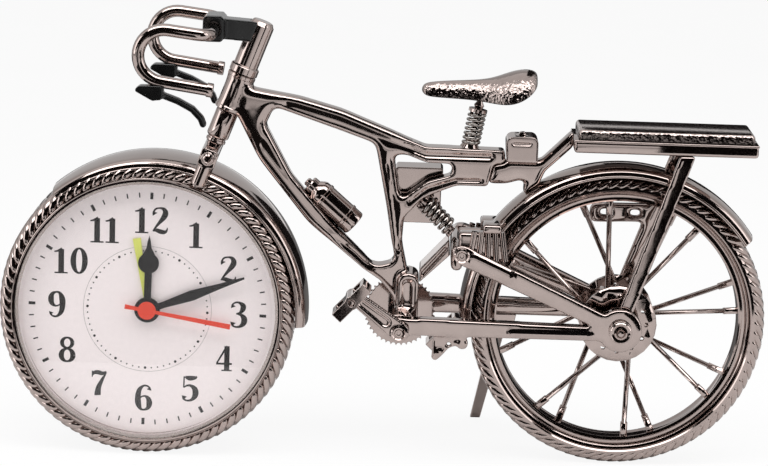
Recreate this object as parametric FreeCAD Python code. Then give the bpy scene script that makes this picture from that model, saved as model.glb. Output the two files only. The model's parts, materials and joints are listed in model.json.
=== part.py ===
import FreeCAD, Part
import math
import os
from FreeCAD import Vector

# A bicycle-shaped alarm clock. All sizes are millimetres, all angles degrees.
# X runs from the clock wheel (-X) to the rear wheel (+X), Z is up, and the dial faces -Y.

# Overall layout
wheel_base = 133.4
wheel_radius = 42.0
steering_lean = 20.5
crank_x = 4.7
crank_drop = 1.7
stand_reach = 43.0

# Fits
running = 0.05
seat_gap = 0.1
cover_gap = 0.15
bite = 1.0

# Corners up to this radius are cut flat, and a square step on a turned piece leans by this much
flat_corner = 1.0
ease = 0.01

# How many flats stand for a round where nothing turns in it
pin_flats = 8
spoke_flats = 6
boss_flats = 12
tube_flats = 16
bend_step = 20.0
guard_step = 7.0
rim_flats = 48
drum_flats = 72

# Clock drum that serves as the front wheel
drum_half = 12.5
tread_band = 3.9
bezel_wall = 0.85
bezel_proud = 0.3
bezel_round = 0.25
lens_thick = 1.25
lens_bevel = 1.6
lens_bevel_depth = 0.45
lens_crown = 0.25
lens_ledge = 1.0
dial_depth = 3.5
dial_thick = 0.9
cover_boss = 1.6
cover_boss_length = 4.0
cover_boss_angles = (60, 180, 300)

# Twisted tread
rib_count = 84
rib_depth = 0.7
rib_start = 0.12
rib_slant = 6.5
front_smooth = 0.2
front_shoulder = 3.6
rear_smooth = 1.3
rear_shoulder = 2.9

# Hands
hand_thick = 0.3
hand_step = 0.55
hand_first = 0.3
hub_radius = 3.65
cap_radius = 3.1
minute_hub = 2.6
alarm_hub = 2.4
hour_length = 21.5
hour_eye_at = 13.5
hour_eye = 2.95
minute_length = 29.2
minute_belly = 13.5
second_length = 24.0
second_tail = 6.3
alarm_length = 20.7
minute_angle = 69.5
second_angle = 99.4
hour_angle = 1.0
alarm_angle = -9.0

# Hand shafts, from the innermost out
second_shaft = 0.45
shaft_wall = 0.45

# Gears of the hand setting
gear_module = 0.45
gear_face = 0.9
gear_layer = 1.25
gear_clear = 0.25
minute_teeth = 10
motion_teeth = 30
motion_pinion_teeth = 8
hour_teeth = 32
alarm_teeth = 32
alarm_pinion_teeth = 16
second_teeth = 20
second_module = 0.7
knob_shaft = 1.0
knob_radius = 4.6
knob_height = 3.4
knob_teeth = 20
knob_tooth = 0.4
knob_lift = 0.3
time_knob_angle = 130.0
alarm_knob_angle = 50.0

# Movement case, its cell and the back cover
case_wall = 1.2
case_corner_gap = 0.7
cell_radius = 5.25
cell_length = 43.7
cell_nub = 0.9
cell_nub_radius = 1.9
cell_gap = 0.5
contact_thick = 0.5
contact_half = 3.6
spring_height = 1.3
spring_wide = 3.0
spring_narrow = 1.6
bridge_width = 5.2
bridge_thick = 1.2
bridge_leg = 1.4
board_thick = 1.0
board_width = 9.5
winding_radius = 2.1
bobbin_half = 2.4
bobbin_length = 12.0
bobbin_cheek = 0.9
buzzer_radius = 6.4
buzzer_thick = 3.0
sound_slots = 5
sound_slot = 0.9
sound_pitch = 1.9
back_recess = 1.8
back_thick = 1.5
door_margin = 1.2
door_grip_half = 5.0
door_grip_height = 0.8
switch_out = 16.0
switch_drop = 3.4
switch_travel = 3.0
switch_length = 5.0
switch_width = 2.6
switch_proud = 1.0
switch_groove = 0.5

# Rear wheel
rear_half = 6.3
rear_tyre_wall = 4.4
rim_wall = 2.7
rim_half = 4.6
rim_lip = 0.9
hub_flange = 10.9
hub_flange_thick = 1.4
hub_half = 8.2
hub_barrel = 5.0
hub_holes = 12
hub_hole_radius = 0.75
spoke_pairs = 8
spoke_radius = 0.75
spoke_dish = 0.9
nipple_radius = 1.05
nipple_length = 4.6
spoke_root = 9.3
spoke_root_turn = 9.2
spoke_rim_turn = 6.8
spoke_first = 12.4
axle_radius = 1.5
axle_cap_radius = 3.3
axle_cap_thick = 1.5
axle_nut_radius = 1.9
axle_nut_thick = 0.5
spacer_wall = 1.0
spacer_gap = 0.2

# Mudguards
guard_clear = 2.2
guard_thick = 1.0
guard_skirt = 0.5
guard_flats = 4
front_guard_half = 13.0
rear_guard_half = 7.6
front_guard_from = -4.0
front_guard_to = 129.0
rear_guard_from = 35.0
rear_guard_to = 180.5
guard_pads = (2, 62, 124)
guard_pad_half = 5.0
guard_pad_width = 3.0
guard_pad_gap = 0.02

# Steering column, measured along its axis
crown_gap = 0.2
crown_height = 5.0
crown_width = 5.0
ring_height = 2.6
ring_step = 0.5
ring_radius = 2.8
column_radius = 2.5
column_length = 9.9
head_length = 11.0
head_radius = 3.6
head_rim = 0.4
head_rim_height = 1.2
steerer_radius = 2.1
steerer_into_crown = 3.0
stem_radius = 3.5
stem_collar = 4.1
stem_collar_height = 2.4
stem_height = 15.15
stem_cap = 0.8
stem_hollow = 7.7
clip_radius = 2.2
clip_drop = 6.0
screw_radius = 1.7
screw_height = 0.6

# Handlebar, its clamp and the brake levers
bar_radius = 1.75
bar_half = 21.5
bar_flats = 10
bar_bend = 7.2
bar_turn = 4.5
bar_grip_end = 14.2
bar_slope = 8.0
bar_forward = 11.4
bar_rise = 1.4
grip_cap = 1.7
grip_cap_wall = 0.25
clamp_down = 2.3
clamp_offset = 12.6
clamp_lift = 0.9
clamp_half = 5.5
clamp_radius = 3.7
neck_half = 2.9
neck_width = 6.8
lever_half = 1.9
blade_half = 1.2
blade_radius = 0.9

# Frame, drawn from a level this far under the crown of the mudguards
frame_datum = 45.2
frame_half = 3.4
channel_depth = 0.8
channel_wide = 1.6
channel_narrow = 1.0
foot_half = 6.0
shell_radius = 3.5
box_depth = 8.5
lid_proud = 0.4
bottle_radius = 3.7
bottle_neck = 2.4
bottle_nozzle = 1.2
bottle_band = 0.25
bottle_band_width = 0.9

# Rear stays and the bridge between them
stay_inner = 13.0
stay_thick = 4.5
stay_width = 4.4
stay_rib = 0.7
dropout_radius = 6.2
guard_gap = 0.3
pivot_x = 21.6
pivot_rise = 20.2
pivot_pin = 1.0
lug_thick = 2.2
lug_in = 1.0
bridge_ribs = 4
bridge_rib = 0.9
bridge_rib_pitch = 2.2
bridge_cap_radius = 2.6

# Cranks and pedals
crank_length = 16.6
crank_angle = 142.9
crank_gap = 1.1
crank_thick = 2.3
crank_boss = 2.9
crank_tip = 1.9
crank_groove = 0.5
chainring_teeth = 42
chainring_radius = 10.4
chainring_depth = 0.75
chainring_thick = 1.4
chainring_hub = 3.6
pedal_pin = 0.9
pedal_length = 12.2
pedal_width = 8.6
pedal_thick = 3.2
pedal_bar = 1.4
pedal_angle = 47.0
pedal_gap = 0.4

# Kickstand
stand_top_x = 34.3
stand_drop = 4.9
stand_boss = 2.9
stand_pin = 1.1
stand_head = 2.0
stand_head_thick = 0.8
stand_foot_x = 28.5
stand_foot_width = 3.0
stand_foot_depth = 2.4
stand_top_width = 4.0
stand_thick = 3.0
stand_gap = 0.2

# Saddle, its sprung post and the shock absorber
post_foot_x = 23.0
post_foot_rise = 47.9
post_lean = 10.3
post_height = 12.0
post_core = 0.85
post_in_saddle = 4.2
post_base = 2.9
post_neck = 1.5
post_base_height = 2.4
post_seat = 2.3
post_seat_thick = 0.5
post_flange = 2.7
post_flange_thick = 0.9
post_ball = 1.5
post_wire = 0.8
post_coil = 1.65
post_turns = 5.0
shock_core = 0.9
shock_wire = 1.0
shock_coil = 1.7
shock_turns = 6.0
shock_flange = 2.3
shock_flange_thick = 0.8
shock_low_seat = 1.0
shock_high_seat = 1.4
saddle_flats = 8

# Luggage rack
rack_front = 14.7
rack_length = 51.5
rack_over_guard = 3.8
rack_height = 5.5
rack_tray_height = 2.6
rack_half = 10.2
pad_inset = 0.6
rack_stay_thick = 2.2
rack_stay_width = 4.4
arm_half = 3.0
brake_inner = 9.4
brake_outer = 12.0

# Places worked out from the layout
axle_z = wheel_radius
front_x = -wheel_base / 2
rear_x = wheel_base / 2
crank_z = axle_z - crank_drop
rake = math.radians(steering_lean)
side = Vector(0, 1, 0)
drum_bore = wheel_radius - tread_band
bezel_outer = drum_bore - running
bezel_radius = bezel_outer - bezel_wall
lens_front = -drum_half - lens_crown
lens_back = lens_front + lens_thick
dial_front = -drum_half + dial_depth
dial_back = dial_front + dial_thick
case_front = dial_back + seat_gap
case_inside = case_front + case_wall
back_outer = drum_half - back_recess
back_inner = back_outer - back_thick
case_back = back_inner - seat_gap
case_half_width = cell_length / 2 + (cell_nub + spring_height) / 2 + contact_thick + case_wall
case_half_height = math.sqrt(drum_bore ** 2 - case_half_width ** 2) - case_corner_gap
tube_radii = [second_shaft + i * (running + shaft_wall) for i in range(4)]
guard_crown = wheel_radius + guard_clear + guard_thick
guard_edge = wheel_radius + guard_skirt
frame_z = axle_z + guard_crown - frame_datum
crown_low = guard_crown + crown_gap
crown_high = crown_low + crown_height
head_low = crown_high + column_length
head_high = head_low + head_length
stem_low = head_high + cover_gap
stem_top = stem_low + stem_height
steerer_top = stem_low + stem_hollow - seat_gap
clamp_at = stem_top - clamp_down
stay_outer = stay_inner + stay_thick
crank_inner = stay_outer + crank_gap
crank_outer = crank_inner + crank_thick
pedal_inner = crank_outer + pedal_gap
pedal_outer = pedal_inner + pedal_width
pivot = (pivot_x, axle_z + pivot_rise)
stand_top_z = crank_z - stand_drop
rack_low = axle_z + guard_crown + rack_over_guard
middle_y = (stand_reach - pedal_outer) / 2

parts = {}


def save(name, shape):
    """Keeps one finished piece under its name."""
    parts[name] = shape.removeSplitter() if shape.ShapeType == "Solid" else shape


def column(s, off=0.0, y=0.0):
    """A point at distance s up the steering axis from the front wheel centre, and off behind the axis."""
    x = front_x + s * math.sin(rake) + off * math.cos(rake)
    z = axle_z + s * math.cos(rake) - off * math.sin(rake)
    return Vector(x, y, z)


def circle(centre, spoke, axis, sides):
    """Points round a circle, starting at the end of its spoke."""
    turn = FreeCAD.Rotation(axis, 360.0 / sides)
    points = []
    for _ in range(sides):
        points.append(centre + spoke)
        spoke = turn.multVec(spoke)
    return points


def prism(points, run):
    """A flat polygon drawn out along a straight run."""
    return Part.Face(Part.makePolygon(points + points[:1])).extrude(run)


def disc(x, z, radius, y0, y1, sides=0):
    """A round across the bicycle from y0 to y1, true or with the given number of flats."""
    if not sides:
        return Part.makeCylinder(radius, y1 - y0, Vector(x, y0, z), side)
    return prism(circle(Vector(x, y0, z), Vector(radius, 0, 0), side, sides), side * (y1 - y0))


def spoke_from(run, radius):
    """A radius square to a run."""
    return run.cross(Vector(0.3, 1, 0.2)).normalize() * radius


def rod(start, end, radius, sides=0):
    """A straight rod, round or with flats."""
    run = end - start
    if not sides:
        return Part.makeCylinder(radius, run.Length, start, run)
    return prism(circle(start, spoke_from(run, radius), run, sides), run)


def skin(rings, closed=False):
    """A solid over rings of points, each joined to the next by flat faces."""
    faces = []

    def flat(*points):
        faces.append(Part.Face(Part.makePolygon(list(points) + [points[0]])))

    pairs = list(zip(rings, rings[1:]))
    if closed:
        pairs.append((rings[-1], rings[0]))
    for low, high in pairs:
        for i in range(len(low)):
            a, b, c, d = low[i - 1], low[i], high[i], high[i - 1]
            lean = (b - a).cross(d - a).normalize()
            if abs(lean.dot(c - a)) < 1e-6:
                flat(a, b, c, d)
            else:
                flat(a, b, c)
                flat(a, c, d)
    if not closed:
        flat(*rings[0])
        flat(*rings[-1])
    shell = Part.makeShell(faces)
    shell.sewShape()
    body = Part.Solid(shell)
    if body.Volume < 0:
        body.reverse()
    return body


def lathe(start, along, profile, sides=tube_flats):
    """A turned piece with flats: (distance, radius) steps from start along a direction."""
    rings = []
    for distance, radius in profile:
        rings.append(circle(start + along * distance, spoke_from(along, radius), along, sides))
    return skin(rings)


def bent_rod(edges, radius, sides):
    """Rings of points along straight runs and bends that follow each other smoothly."""
    start = edges[0].Vertexes[0].Point
    points = circle(start, Vector(0, 0, radius), edges[0].Vertexes[-1].Point - start, sides)
    rings = [points]
    for edge in edges:
        if isinstance(edge.Curve, Part.Circle):
            sweep = math.degrees(edge.LastParameter - edge.FirstParameter)
            steps = math.ceil(sweep / bend_step)
            bend = FreeCAD.Rotation(edge.Curve.Axis, sweep / steps)
            for _ in range(steps):
                points = [edge.Curve.Center + bend.multVec(point - edge.Curve.Center) for point in points]
                rings.append(points)
        else:
            run = edge.valueAt(edge.LastParameter) - edge.valueAt(edge.FirstParameter)
            points = [point + run for point in points]
            rings.append(points)
    return rings


def hoop(profile, x, flats):
    """A closed ring of (radius, y) points carried round a wheel's centre."""
    rings = []
    for i in range(flats):
        turn = 2 * math.pi * i / flats
        rings.append([Vector(x + r * math.cos(turn), y, axle_z + r * math.sin(turn)) for r, y in profile])
    return skin(rings, True)


def rounded(points):
    """A closed wire in the XZ plane through (x, z, corner radius) points. Small corners are cut flat."""
    count = len(points)
    corners = []
    for i in range(count):
        x, z, radius = points[i]
        here = Vector(x, 0, z)
        back = (Vector(points[i - 1][0], 0, points[i - 1][1]) - here).normalize()
        ahead = (Vector(points[(i + 1) % count][0], 0, points[(i + 1) % count][1]) - here).normalize()
        half = back.getAngle(ahead) / 2
        if radius <= 0 or half > math.radians(89.5):
            corners.append((here, None, here))
            continue
        cut = radius / math.tan(half)
        inward = (back + ahead).normalize()
        middle = here + inward * (radius / math.sin(half) - radius)
        corners.append((here + back * cut, middle if radius > flat_corner else None, here + ahead * cut))
    edges = []
    for i in range(count):
        enter, middle, leave = corners[i]
        if middle is not None:
            edges.append(Part.Arc(enter, middle, leave).toShape())
        elif (leave - enter).Length > 1e-6:
            edges.append(Part.LineSegment(enter, leave).toShape())
        following = corners[(i + 1) % count][0]
        if (following - leave).Length > 1e-6:
            edges.append(Part.LineSegment(leave, following).toShape())
    return Part.Wire(edges)


def plate(points, y0, y1):
    """A flat piece with rounded corners, from y0 to y1."""
    body = Part.Face(rounded(points)).extrude(Vector(0, y1 - y0, 0))
    body.translate(Vector(0, y0, 0))
    return body


def link(start, end, start_radius, end_radius, y0, y1):
    """A bar with round ends between two (x, z) points, tapering from one radius to the other."""
    a = Vector(start[0], y0, start[1])
    b = Vector(end[0], y0, end[1])
    along = (b - a).normalize()
    lean = math.degrees(math.asin((start_radius - end_radius) / (b - a).Length))
    points = []
    for centre, radius, first, sweep in ((b, end_radius, lean - 90, 180 - 2 * lean),
                                         (a, start_radius, 90 - lean, 180 + 2 * lean)):
        steps = boss_flats // 2
        for i in range(steps + 1):
            turn = FreeCAD.Rotation(side, -(first + sweep * i / steps))
            points.append(centre + turn.multVec(along) * radius)
    return prism(points, side * (y1 - y0))


def taper(top, foot):
    """A bar between two level rectangles, each given as (x, z, width, y0, y1)."""
    sections = []
    for x, z, width, y0, y1 in (top, foot):
        corners = [(x - width / 2, y0), (x + width / 2, y0), (x + width / 2, y1), (x - width / 2, y1)]
        sections.append([Vector(px, py, z) for px, py in corners])
    return skin(sections)


def block(x0, x1, y0, y1, z0, z1):
    return Part.makeBox(x1 - x0, y1 - y0, z1 - z0, Vector(x0, y0, z0))


def biggest(shape):
    return max(shape.Solids, key=lambda solid: solid.Volume)


def both_ways(sign, low, high):
    """A span on the near (-1) or far (+1) side of the middle plane, in rising order."""
    return sorted((sign * low, sign * high))


def strip(line, width):
    """The outline of a band of one width along a line of (x, z) points, with mitred corners."""
    left = []
    right = []
    for i in range(len(line)):
        here = Vector(line[i][0], 0, line[i][1])
        before = Vector(line[max(i - 1, 0)][0], 0, line[max(i - 1, 0)][1])
        after = Vector(line[min(i + 1, len(line) - 1)][0], 0, line[min(i + 1, len(line) - 1)][1])
        run_in = (here - before).normalize() if i else (after - here).normalize()
        run_out = (after - here).normalize() if i < len(line) - 1 else run_in
        across = Vector(-run_in.z - run_out.z, 0, run_in.x + run_out.x).normalize()
        reach = width / 2 / max(0.3, across.dot(Vector(-run_in.z, 0, run_in.x)))
        left.append((here.x + across.x * reach, here.z + across.z * reach, 0))
        right.append((here.x - across.x * reach, here.z - across.z * reach, 0))
    return left + right[::-1]


def channels(body, line, width):
    """Cuts a shallow groove along a line of (x, z) points into both faces of the frame plate."""
    for low in (frame_half - channel_depth, -frame_half):
        body = body.cut(plate(strip(line, width), low, low + channel_depth))
    return body


def toothed(teeth, module, x, z, y0, y1, phase=0.0):
    """A spur gear with straight-sided teeth, thin enough to run free in its mate."""
    pitch_radius = module * teeth / 2
    step = 2 * math.pi / teeth
    flanks = ((-0.235, -1.15), (-0.10, 0.85), (0.10, 0.85), (0.235, -1.15))
    points = []
    for i in range(teeth):
        for turn, height in flanks:
            angle = (i + turn) * step + math.radians(phase)
            radius = pitch_radius + height * module
            points.append(Vector(x + radius * math.cos(angle), y0, z + radius * math.sin(angle)))
    return prism(points, side * (y1 - y0))


def arc_between(p0, t0, p1, t1):
    """Two arcs that join p0 to p1 and keep the directions t0 and t1."""
    gap = p1 - p0
    both = t0 + t1
    bend = 2 * (1 - t0.dot(t1))
    reach = (-gap.dot(both) + math.sqrt(gap.dot(both) ** 2 + bend * gap.dot(gap))) / bend
    q0 = p0 + t0 * reach
    q1 = p1 - t1 * reach
    joint = (q0 + q1) * 0.5
    arcs = []
    for a, q, b in ((p0, q0, joint), (joint, q1, p1)):
        chord = (a + b) * 0.5
        half = (b - a).Length / 2
        height = (q - chord).Length
        turn = math.atan2(height, half)
        share = math.tan(turn / 2) / math.tan(turn)
        arcs.append(Part.Arc(a, chord + (q - chord) * share, b).toShape())
    return arcs


def coil(base, axis, wire, coil_radius, turns, height, name):
    """A coil spring as one unbroken wire. Gives the solid and the point and direction of both ends."""
    across = axis.cross(side).normalize()
    aside = axis.cross(across)
    pitch = height / turns

    def at(turn):
        angle = 2 * math.pi * turn
        around = across * math.cos(angle) + aside * math.sin(angle)
        return base + around * coil_radius + axis * (pitch * turn)

    def heading(turn):
        angle = 2 * math.pi * turn
        around = across * -math.sin(angle) + aside * math.cos(angle)
        return (around * (2 * math.pi * coil_radius) + axis * pitch).normalize()

    half_turns = int(round(turns * 2))
    start = at(0) - heading(0) * wire
    end = at(turns) + heading(turns) * wire
    edges = [Part.LineSegment(start, at(0)).toShape()]
    for i in range(half_turns):
        a = i * turns / half_turns
        b = (i + 1) * turns / half_turns
        edges += arc_between(at(a), heading(a), at(b), heading(b))
    edges.append(Part.LineSegment(at(turns), end).toShape())
    aim = heading(0)
    spoke = (across - aim * across.dot(aim)).normalize() * (wire / 2)
    section = circle(start, spoke, aim, 4)
    body = Part.Wire(edges).makePipeShell([Part.makePolygon(section + section[:1])], True, False)
    if body.ShapeType != "Solid":
        body = Part.Solid(body)

    samples = 48
    dots = [at(i / samples) for i in range(int(turns * samples) + 1)]
    least = min(
        (dots[j] - dots[i]).Length - wire
        for i in range(len(dots))
        for j in range(i + samples // 2, len(dots))
    )
    print("%s: %.1f turns, least gap between turns %.2f mm" % (name, turns, least))
    return body, (start, heading(0) * -1), (end, heading(turns))


def stop_block(end, wire, up, reach):
    """A small block whose face meets a spring's end squarely, standing on a seat below it."""
    point, aim = end
    level = aim.cross(up).normalize()
    top = aim.cross(level).normalize() * -1
    if top.dot(up) < 0:
        top = top * -1
    half = wire * 0.6
    left = point - level * half - top * reach
    right = left + level * 2 * half
    rise = top * (reach + half)
    return prism([left, right, right + rise, left + rise], aim * wire)


def seated_coil(foot, along, low, high, wire, coil_radius, turns, name):
    """A spring between two seats on a rod, with the stop that each of its ends bears on."""
    lift = wire * 0.75
    spring, first, last = coil(foot + along * (low + lift), along, wire, coil_radius, turns,
                               high - low - 2 * lift, name)
    save(name, spring)
    return [stop_block(first, wire, along, lift), stop_block(last, wire, along * -1, lift)]


def arched_guard(x, half, from_angle, to_angle):
    """A mudguard over a wheel: an arched section carried round the wheel's centre."""
    def arch(crown, edge, reach):
        points = []
        for i in range(-guard_flats, guard_flats + 1):
            share = i / guard_flats
            points.append((crown - (crown - edge) * share ** 2, reach * math.sin(share * math.pi / 2)))
        return points

    outer = arch(guard_crown, guard_edge, half)
    inner = arch(guard_crown - guard_thick, guard_edge, half - guard_thick)
    steps = math.ceil((to_angle - from_angle) / guard_step)
    rings = []
    for i in range(steps + 1):
        angle = math.radians(from_angle + (to_angle - from_angle) * i / steps)
        ring = []
        for r, y in outer + inner[::-1]:
            ring.append(Vector(x + r * math.cos(angle), y, axle_z + r * math.sin(angle)))
        rings.append(ring)
    return skin(rings)


def tread_ring(x, half, inner, smooth, shoulder):
    """A tyre whose sloping shoulders and crown are moulded into ribs, twisted like a rope on both faces."""
    def star(y, radius, depth, turn):
        points = []
        for i in range(2 * rib_count):
            angle = math.radians(turn) + math.pi * i / rib_count
            reach = radius - (depth if i % 2 else 0)
            points.append(Vector(x + reach * math.cos(angle), y, axle_z + reach * math.sin(angle)))
        return points

    edge = inner + smooth + rib_start
    crown = half - shoulder
    body = skin([star(-half, edge, rib_start, rib_slant), star(-crown, wheel_radius, rib_depth, 0),
                 star(crown, wheel_radius, rib_depth, 0), star(half, edge, rib_start, rib_slant)])
    return body.cut(disc(x, axle_z, inner, -half, half, rib_count))


def main_frame():
    """The moulded frame: head tube, top tube, down tube, seat tube, rear arch and crank shell in one."""
    a = frame_z
    top = column(head_low + head_length * 0.72, head_radius * 0.6)
    low = column(head_low + 0.8, head_radius * 0.6)
    outline = [
        (top.x, top.z, 0),
        (front_x + 41.2, a + 60.7, 6),
        (-13.5, a + 57.5, 12),
        (2.0, a + 51.4, 8),
        (10.6, a + 48.1, 5),
        (33.0, a + 47.8, 1.2),
        (33.2, a + 44.1, 1.0),
        (29.8, a + 43.6, 0.6),
        (28.4, a + 37.3, 0.6),
        (19.5, a + 37.3, 6),
        (10.2, a + 33.4, 6),
        (5.0, a + 27.4, 2.5),
        (4.6, a + 20.4, 3),
        (6.2, crank_z + 15.1, 1.5),
        (8.0, crank_z + 2.5, 0),
        (3.4, crank_z + 2.5, 0),
        (2.4, crank_z + 6.8, 3),
        (-1.2, crank_z + 10.9, 4),
        (-6.0, crank_z + 14.0, 5),
        (-22.0, a + 25.4, 20),
        (front_x + 30.4, a + 43.1, 20),
        (low.x, low.z, 0),
    ]
    front_window = [
        (front_x + 31.2, a + 53.6, 2.2),
        (front_x + 34.4, a + 58.2, 2.0),
        (-14.0, a + 52.2, 8),
        (-3.4, a + 48.6, 3.0),
        (0.4, a + 30.0, 20),
        (2.9, crank_z + 16.3, 2.2),
        (-3.0, crank_z + 14.8, 4),
        (-16.0, a + 25.6, 12),
        (-27.4, a + 38.6, 10),
    ]
    rear_window = [
        (1.4, a + 45.8, 1.4),
        (5.4, a + 45.6, 2.5),
        (10.8, a + 43.6, 4),
        (18.2, a + 43.4, 0.8),
        (18.2, a + 40.2, 0.8),
        (11.5, a + 38.3, 6),
        (3.6, a + 32.4, 1.0),
    ]
    body = plate(outline, -frame_half, frame_half)
    for window in (front_window, rear_window):
        body = body.cut(plate(window, -frame_half, frame_half))

    # the boxed foot of the seat tube, with a sunken panel in each side
    foot = [(crank_x - 0.8, crank_z - 0.5, 0), (crank_x - 0.8, crank_z + 13.7, 2.6),
            (crank_x + 5.2, crank_z + 13.7, 2.6), (crank_x + 5.2, crank_z - 0.5, 0)]
    panel = [(crank_x + 0.5, crank_z + 3.6, 0.5), (crank_x + 0.5, crank_z + 11.8, 1.4),
             (crank_x + 3.9, crank_z + 11.8, 1.4), (crank_x + 3.9, crank_z + 3.6, 0.5)]
    boxed = plate(foot, -foot_half, foot_half)
    for y in (-foot_half, foot_half - channel_depth):
        boxed = boxed.cut(plate(panel, y, y + channel_depth))
    shell = disc(crank_x, crank_z, shell_radius, -stay_inner + seat_gap, foot_half - spacer_gap, tube_flats)
    body = body.fuse([boxed, shell])

    tube = rod(column(head_low), column(head_high), head_radius, tube_flats)
    for s in (head_low, head_high - head_rim_height):
        tube = tube.fuse(rod(column(s), column(s + head_rim_height), head_radius + head_rim, tube_flats))
    gusset_top = column(head_low + 8.5, 2.0)
    gusset_low = column(head_low + 1.0, 2.0)
    gusset = [(gusset_top.x, gusset_top.z, 0), (front_x + 34.0, a + 60.0, 1), (front_x + 32.2, a + 53.0, 1),
              (gusset_low.x, gusset_low.z, 0)]
    body = body.fuse([tube, plate(gusset, channel_depth - frame_half, frame_half - channel_depth)])

    top_tube = [(front_x + 36.5, a + 59.3), (-14.0, a + 54.8), (0.5, a + 49.6), (10.8, a + 45.8),
                (29.5, a + 45.8)]
    down_tube = [(front_x + 30.5, a + 48.0), (-27.5, a + 36.6), (-15.5, a + 23.2), (-4.0, crank_z + 14.6)]
    seat_tube = [(-0.5, a + 43.6), (2.2, a + 30.0), (3.7, crank_z + 19.0)]
    rear_arch = [(6.0, a + 31.6), (11.5, a + 36.2), (19.5, a + 38.8), (26.8, a + 38.8)]
    for line, width in ((top_tube, channel_wide), (down_tube, channel_wide), (seat_tube, channel_narrow),
                        (rear_arch, channel_narrow)):
        body = channels(body, line, width)

    body = body.cut(rod(column(head_low - bite), column(head_high + bite), steerer_radius + running))
    bore = disc(crank_x, crank_z, axle_radius + running, -stay_inner - bite, foot_half + bite)
    save("main_frame", body.cut(bore))


def frame_box():
    """The small closed box behind the seat tube, on the far side of the frame."""
    a = frame_z
    outline = [(2.6, a + 25.0, 0.8), (2.6, a + 40.6, 0.8), (15.4, a + 40.6, 0.8), (15.4, a + 25.0, 0.8)]
    lid = [(2.2, a + 38.4, 0.4), (2.2, a + 41.0, 0.6), (15.8, a + 41.0, 0.6), (15.8, a + 38.4, 0.4)]
    body = plate(outline, frame_half, frame_half + box_depth)
    save("frame_box", body.fuse(plate(lid, frame_half, frame_half + box_depth + lid_proud)))


def bottle():
    """The drinking bottle that lies on the down tube, with its neck and nozzle."""
    a = frame_z
    low = Vector(-8.9, 0, a + 24.7)
    high = Vector(-19.4, 0, a + 33.8)
    along = (high - low).normalize()
    length = (high - low).Length
    band = bottle_radius + bottle_band
    profile = [(0, bottle_radius)]
    for start in (length * 0.22, length * 0.82):
        end = start + bottle_band_width
        profile += [(start, bottle_radius), (start + ease, band), (end, band), (end + ease, bottle_radius)]
    profile += [(length, bottle_radius), (length + 1.6, bottle_neck), (length + 3.4, bottle_neck),
                (length + 3.4 + ease, bottle_nozzle), (length + 4.6, bottle_nozzle)]
    body = lathe(low, along, profile)
    save("bottle", biggest(body.cut(parts["main_frame"])))


def tool_box():
    """The little box behind the saddle, with a rounded lid and a slot in each side."""
    a = frame_z
    half = 5.0
    slot_deep = 0.5
    outline = [(33.4, a + 44.9, 0.4), (33.0, a + 52.0, 2.0), (42.2, a + 52.2, 2.0), (42.2, a + 44.9, 0.4)]
    slot = [(34.9, a + 49.6, 0), (34.9, a + 50.5, 0), (40.2, a + 50.5, 0), (40.2, a + 49.6, 0)]
    catch = [(36.8, a + 52.0, 0), (36.8, a + 52.9, 0.3), (38.6, a + 52.9, 0.3), (38.6, a + 52.0, 0)]
    body = plate(outline, -half, half)
    for y in (-half, half - slot_deep):
        body = body.cut(plate(slot, y, y + slot_deep))
    save("tool_box", body.fuse(plate(catch, -half / 4, half / 4)))


def rack_arm():
    """The forked arm that joins the frame's tail to the rack and to the rear mudguard."""
    a = frame_z
    front = rear_x - rack_front
    outline = [
        (28.7, a + 38.3, 0),
        (30.0, a + 43.5, 0),
        (33.3, a + 44.0, 0),
        (33.4, a + 44.8, 0),
        (43.2, a + 44.8, 2.0),
        (front, rack_low + 4.6, 0),
        (front, rack_low + 0.6, 0),
        (44.2, a + 42.2, 1.2),
    ]
    for turn in (122.0, 128.5):
        angle = math.radians(turn)
        outline.append((rear_x + guard_crown * math.cos(angle), axle_z + guard_crown * math.sin(angle), 0))
    outline += [(39.4, a + 40.2, 1.0), (33.5, a + 38.4, 3)]
    body = plate(outline, -arm_half, arm_half)
    body = body.cut(parts["main_frame"])
    save("rack_arm", biggest(body.cut(disc(rear_x, axle_z, guard_crown + running, -frame_half, frame_half))))


def rack():
    """The luggage rack: a polished tray edge under a padded, leather-look top."""
    x0 = rear_x - rack_front
    x1 = x0 + rack_length
    split = rack_low + rack_tray_height
    high = rack_low + rack_height
    tray = [(x0, rack_low, 0.8), (x0, split, 0.6), (x1, split, 0.6), (x1, rack_low, 0.8)]
    save("rack_tray", plate(tray, -rack_half, rack_half))

    rings = []
    for inset, z in ((pad_inset, split), (pad_inset * 0.4, split + 1.0), (pad_inset * 0.4, high - 1.4),
                     (pad_inset * 1.2, high - 0.4), (pad_inset * 2.5, high)):
        rings.append([Vector(x0 + inset, inset - rack_half, z), Vector(x1 - inset, inset - rack_half, z),
                      Vector(x1 - inset, rack_half - inset, z), Vector(x0 + inset, rack_half - inset, z)])
    save("rack_pad", skin(rings))


def rack_stays():
    """The two flat stays from the rack down to the dropouts. The far one carries a brake block."""
    a = axle_z
    low_inner = stay_inner - seat_gap - rack_stay_thick
    high_inner = rack_half - rack_stay_thick
    far = taper((rear_x + 17.2, rack_low, rack_stay_width, high_inner, high_inner + rack_stay_thick),
                (rear_x + 1.4, a + 3.6, rack_stay_width, low_inner, low_inner + rack_stay_thick))
    save("near_rack_stay", far.mirror(Vector(0, 0, 0), side))

    outline = [(rear_x - 8.2, a + 25.8, 0.8), (rear_x - 8.0, a + 31.0, 0.8), (rear_x + 9.8, a + 31.4, 0.8),
               (rear_x + 9.6, a + 26.4, 0.8)]
    brake = plate(outline, brake_inner, brake_outer)
    for x in (rear_x - 5.6, rear_x + 3.0):
        brake = brake.cut(block(x, x + 3.4, brake_inner, brake_outer, a + 27.6, a + 29.8))
    save("far_rack_stay", far.fuse(brake))


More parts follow.
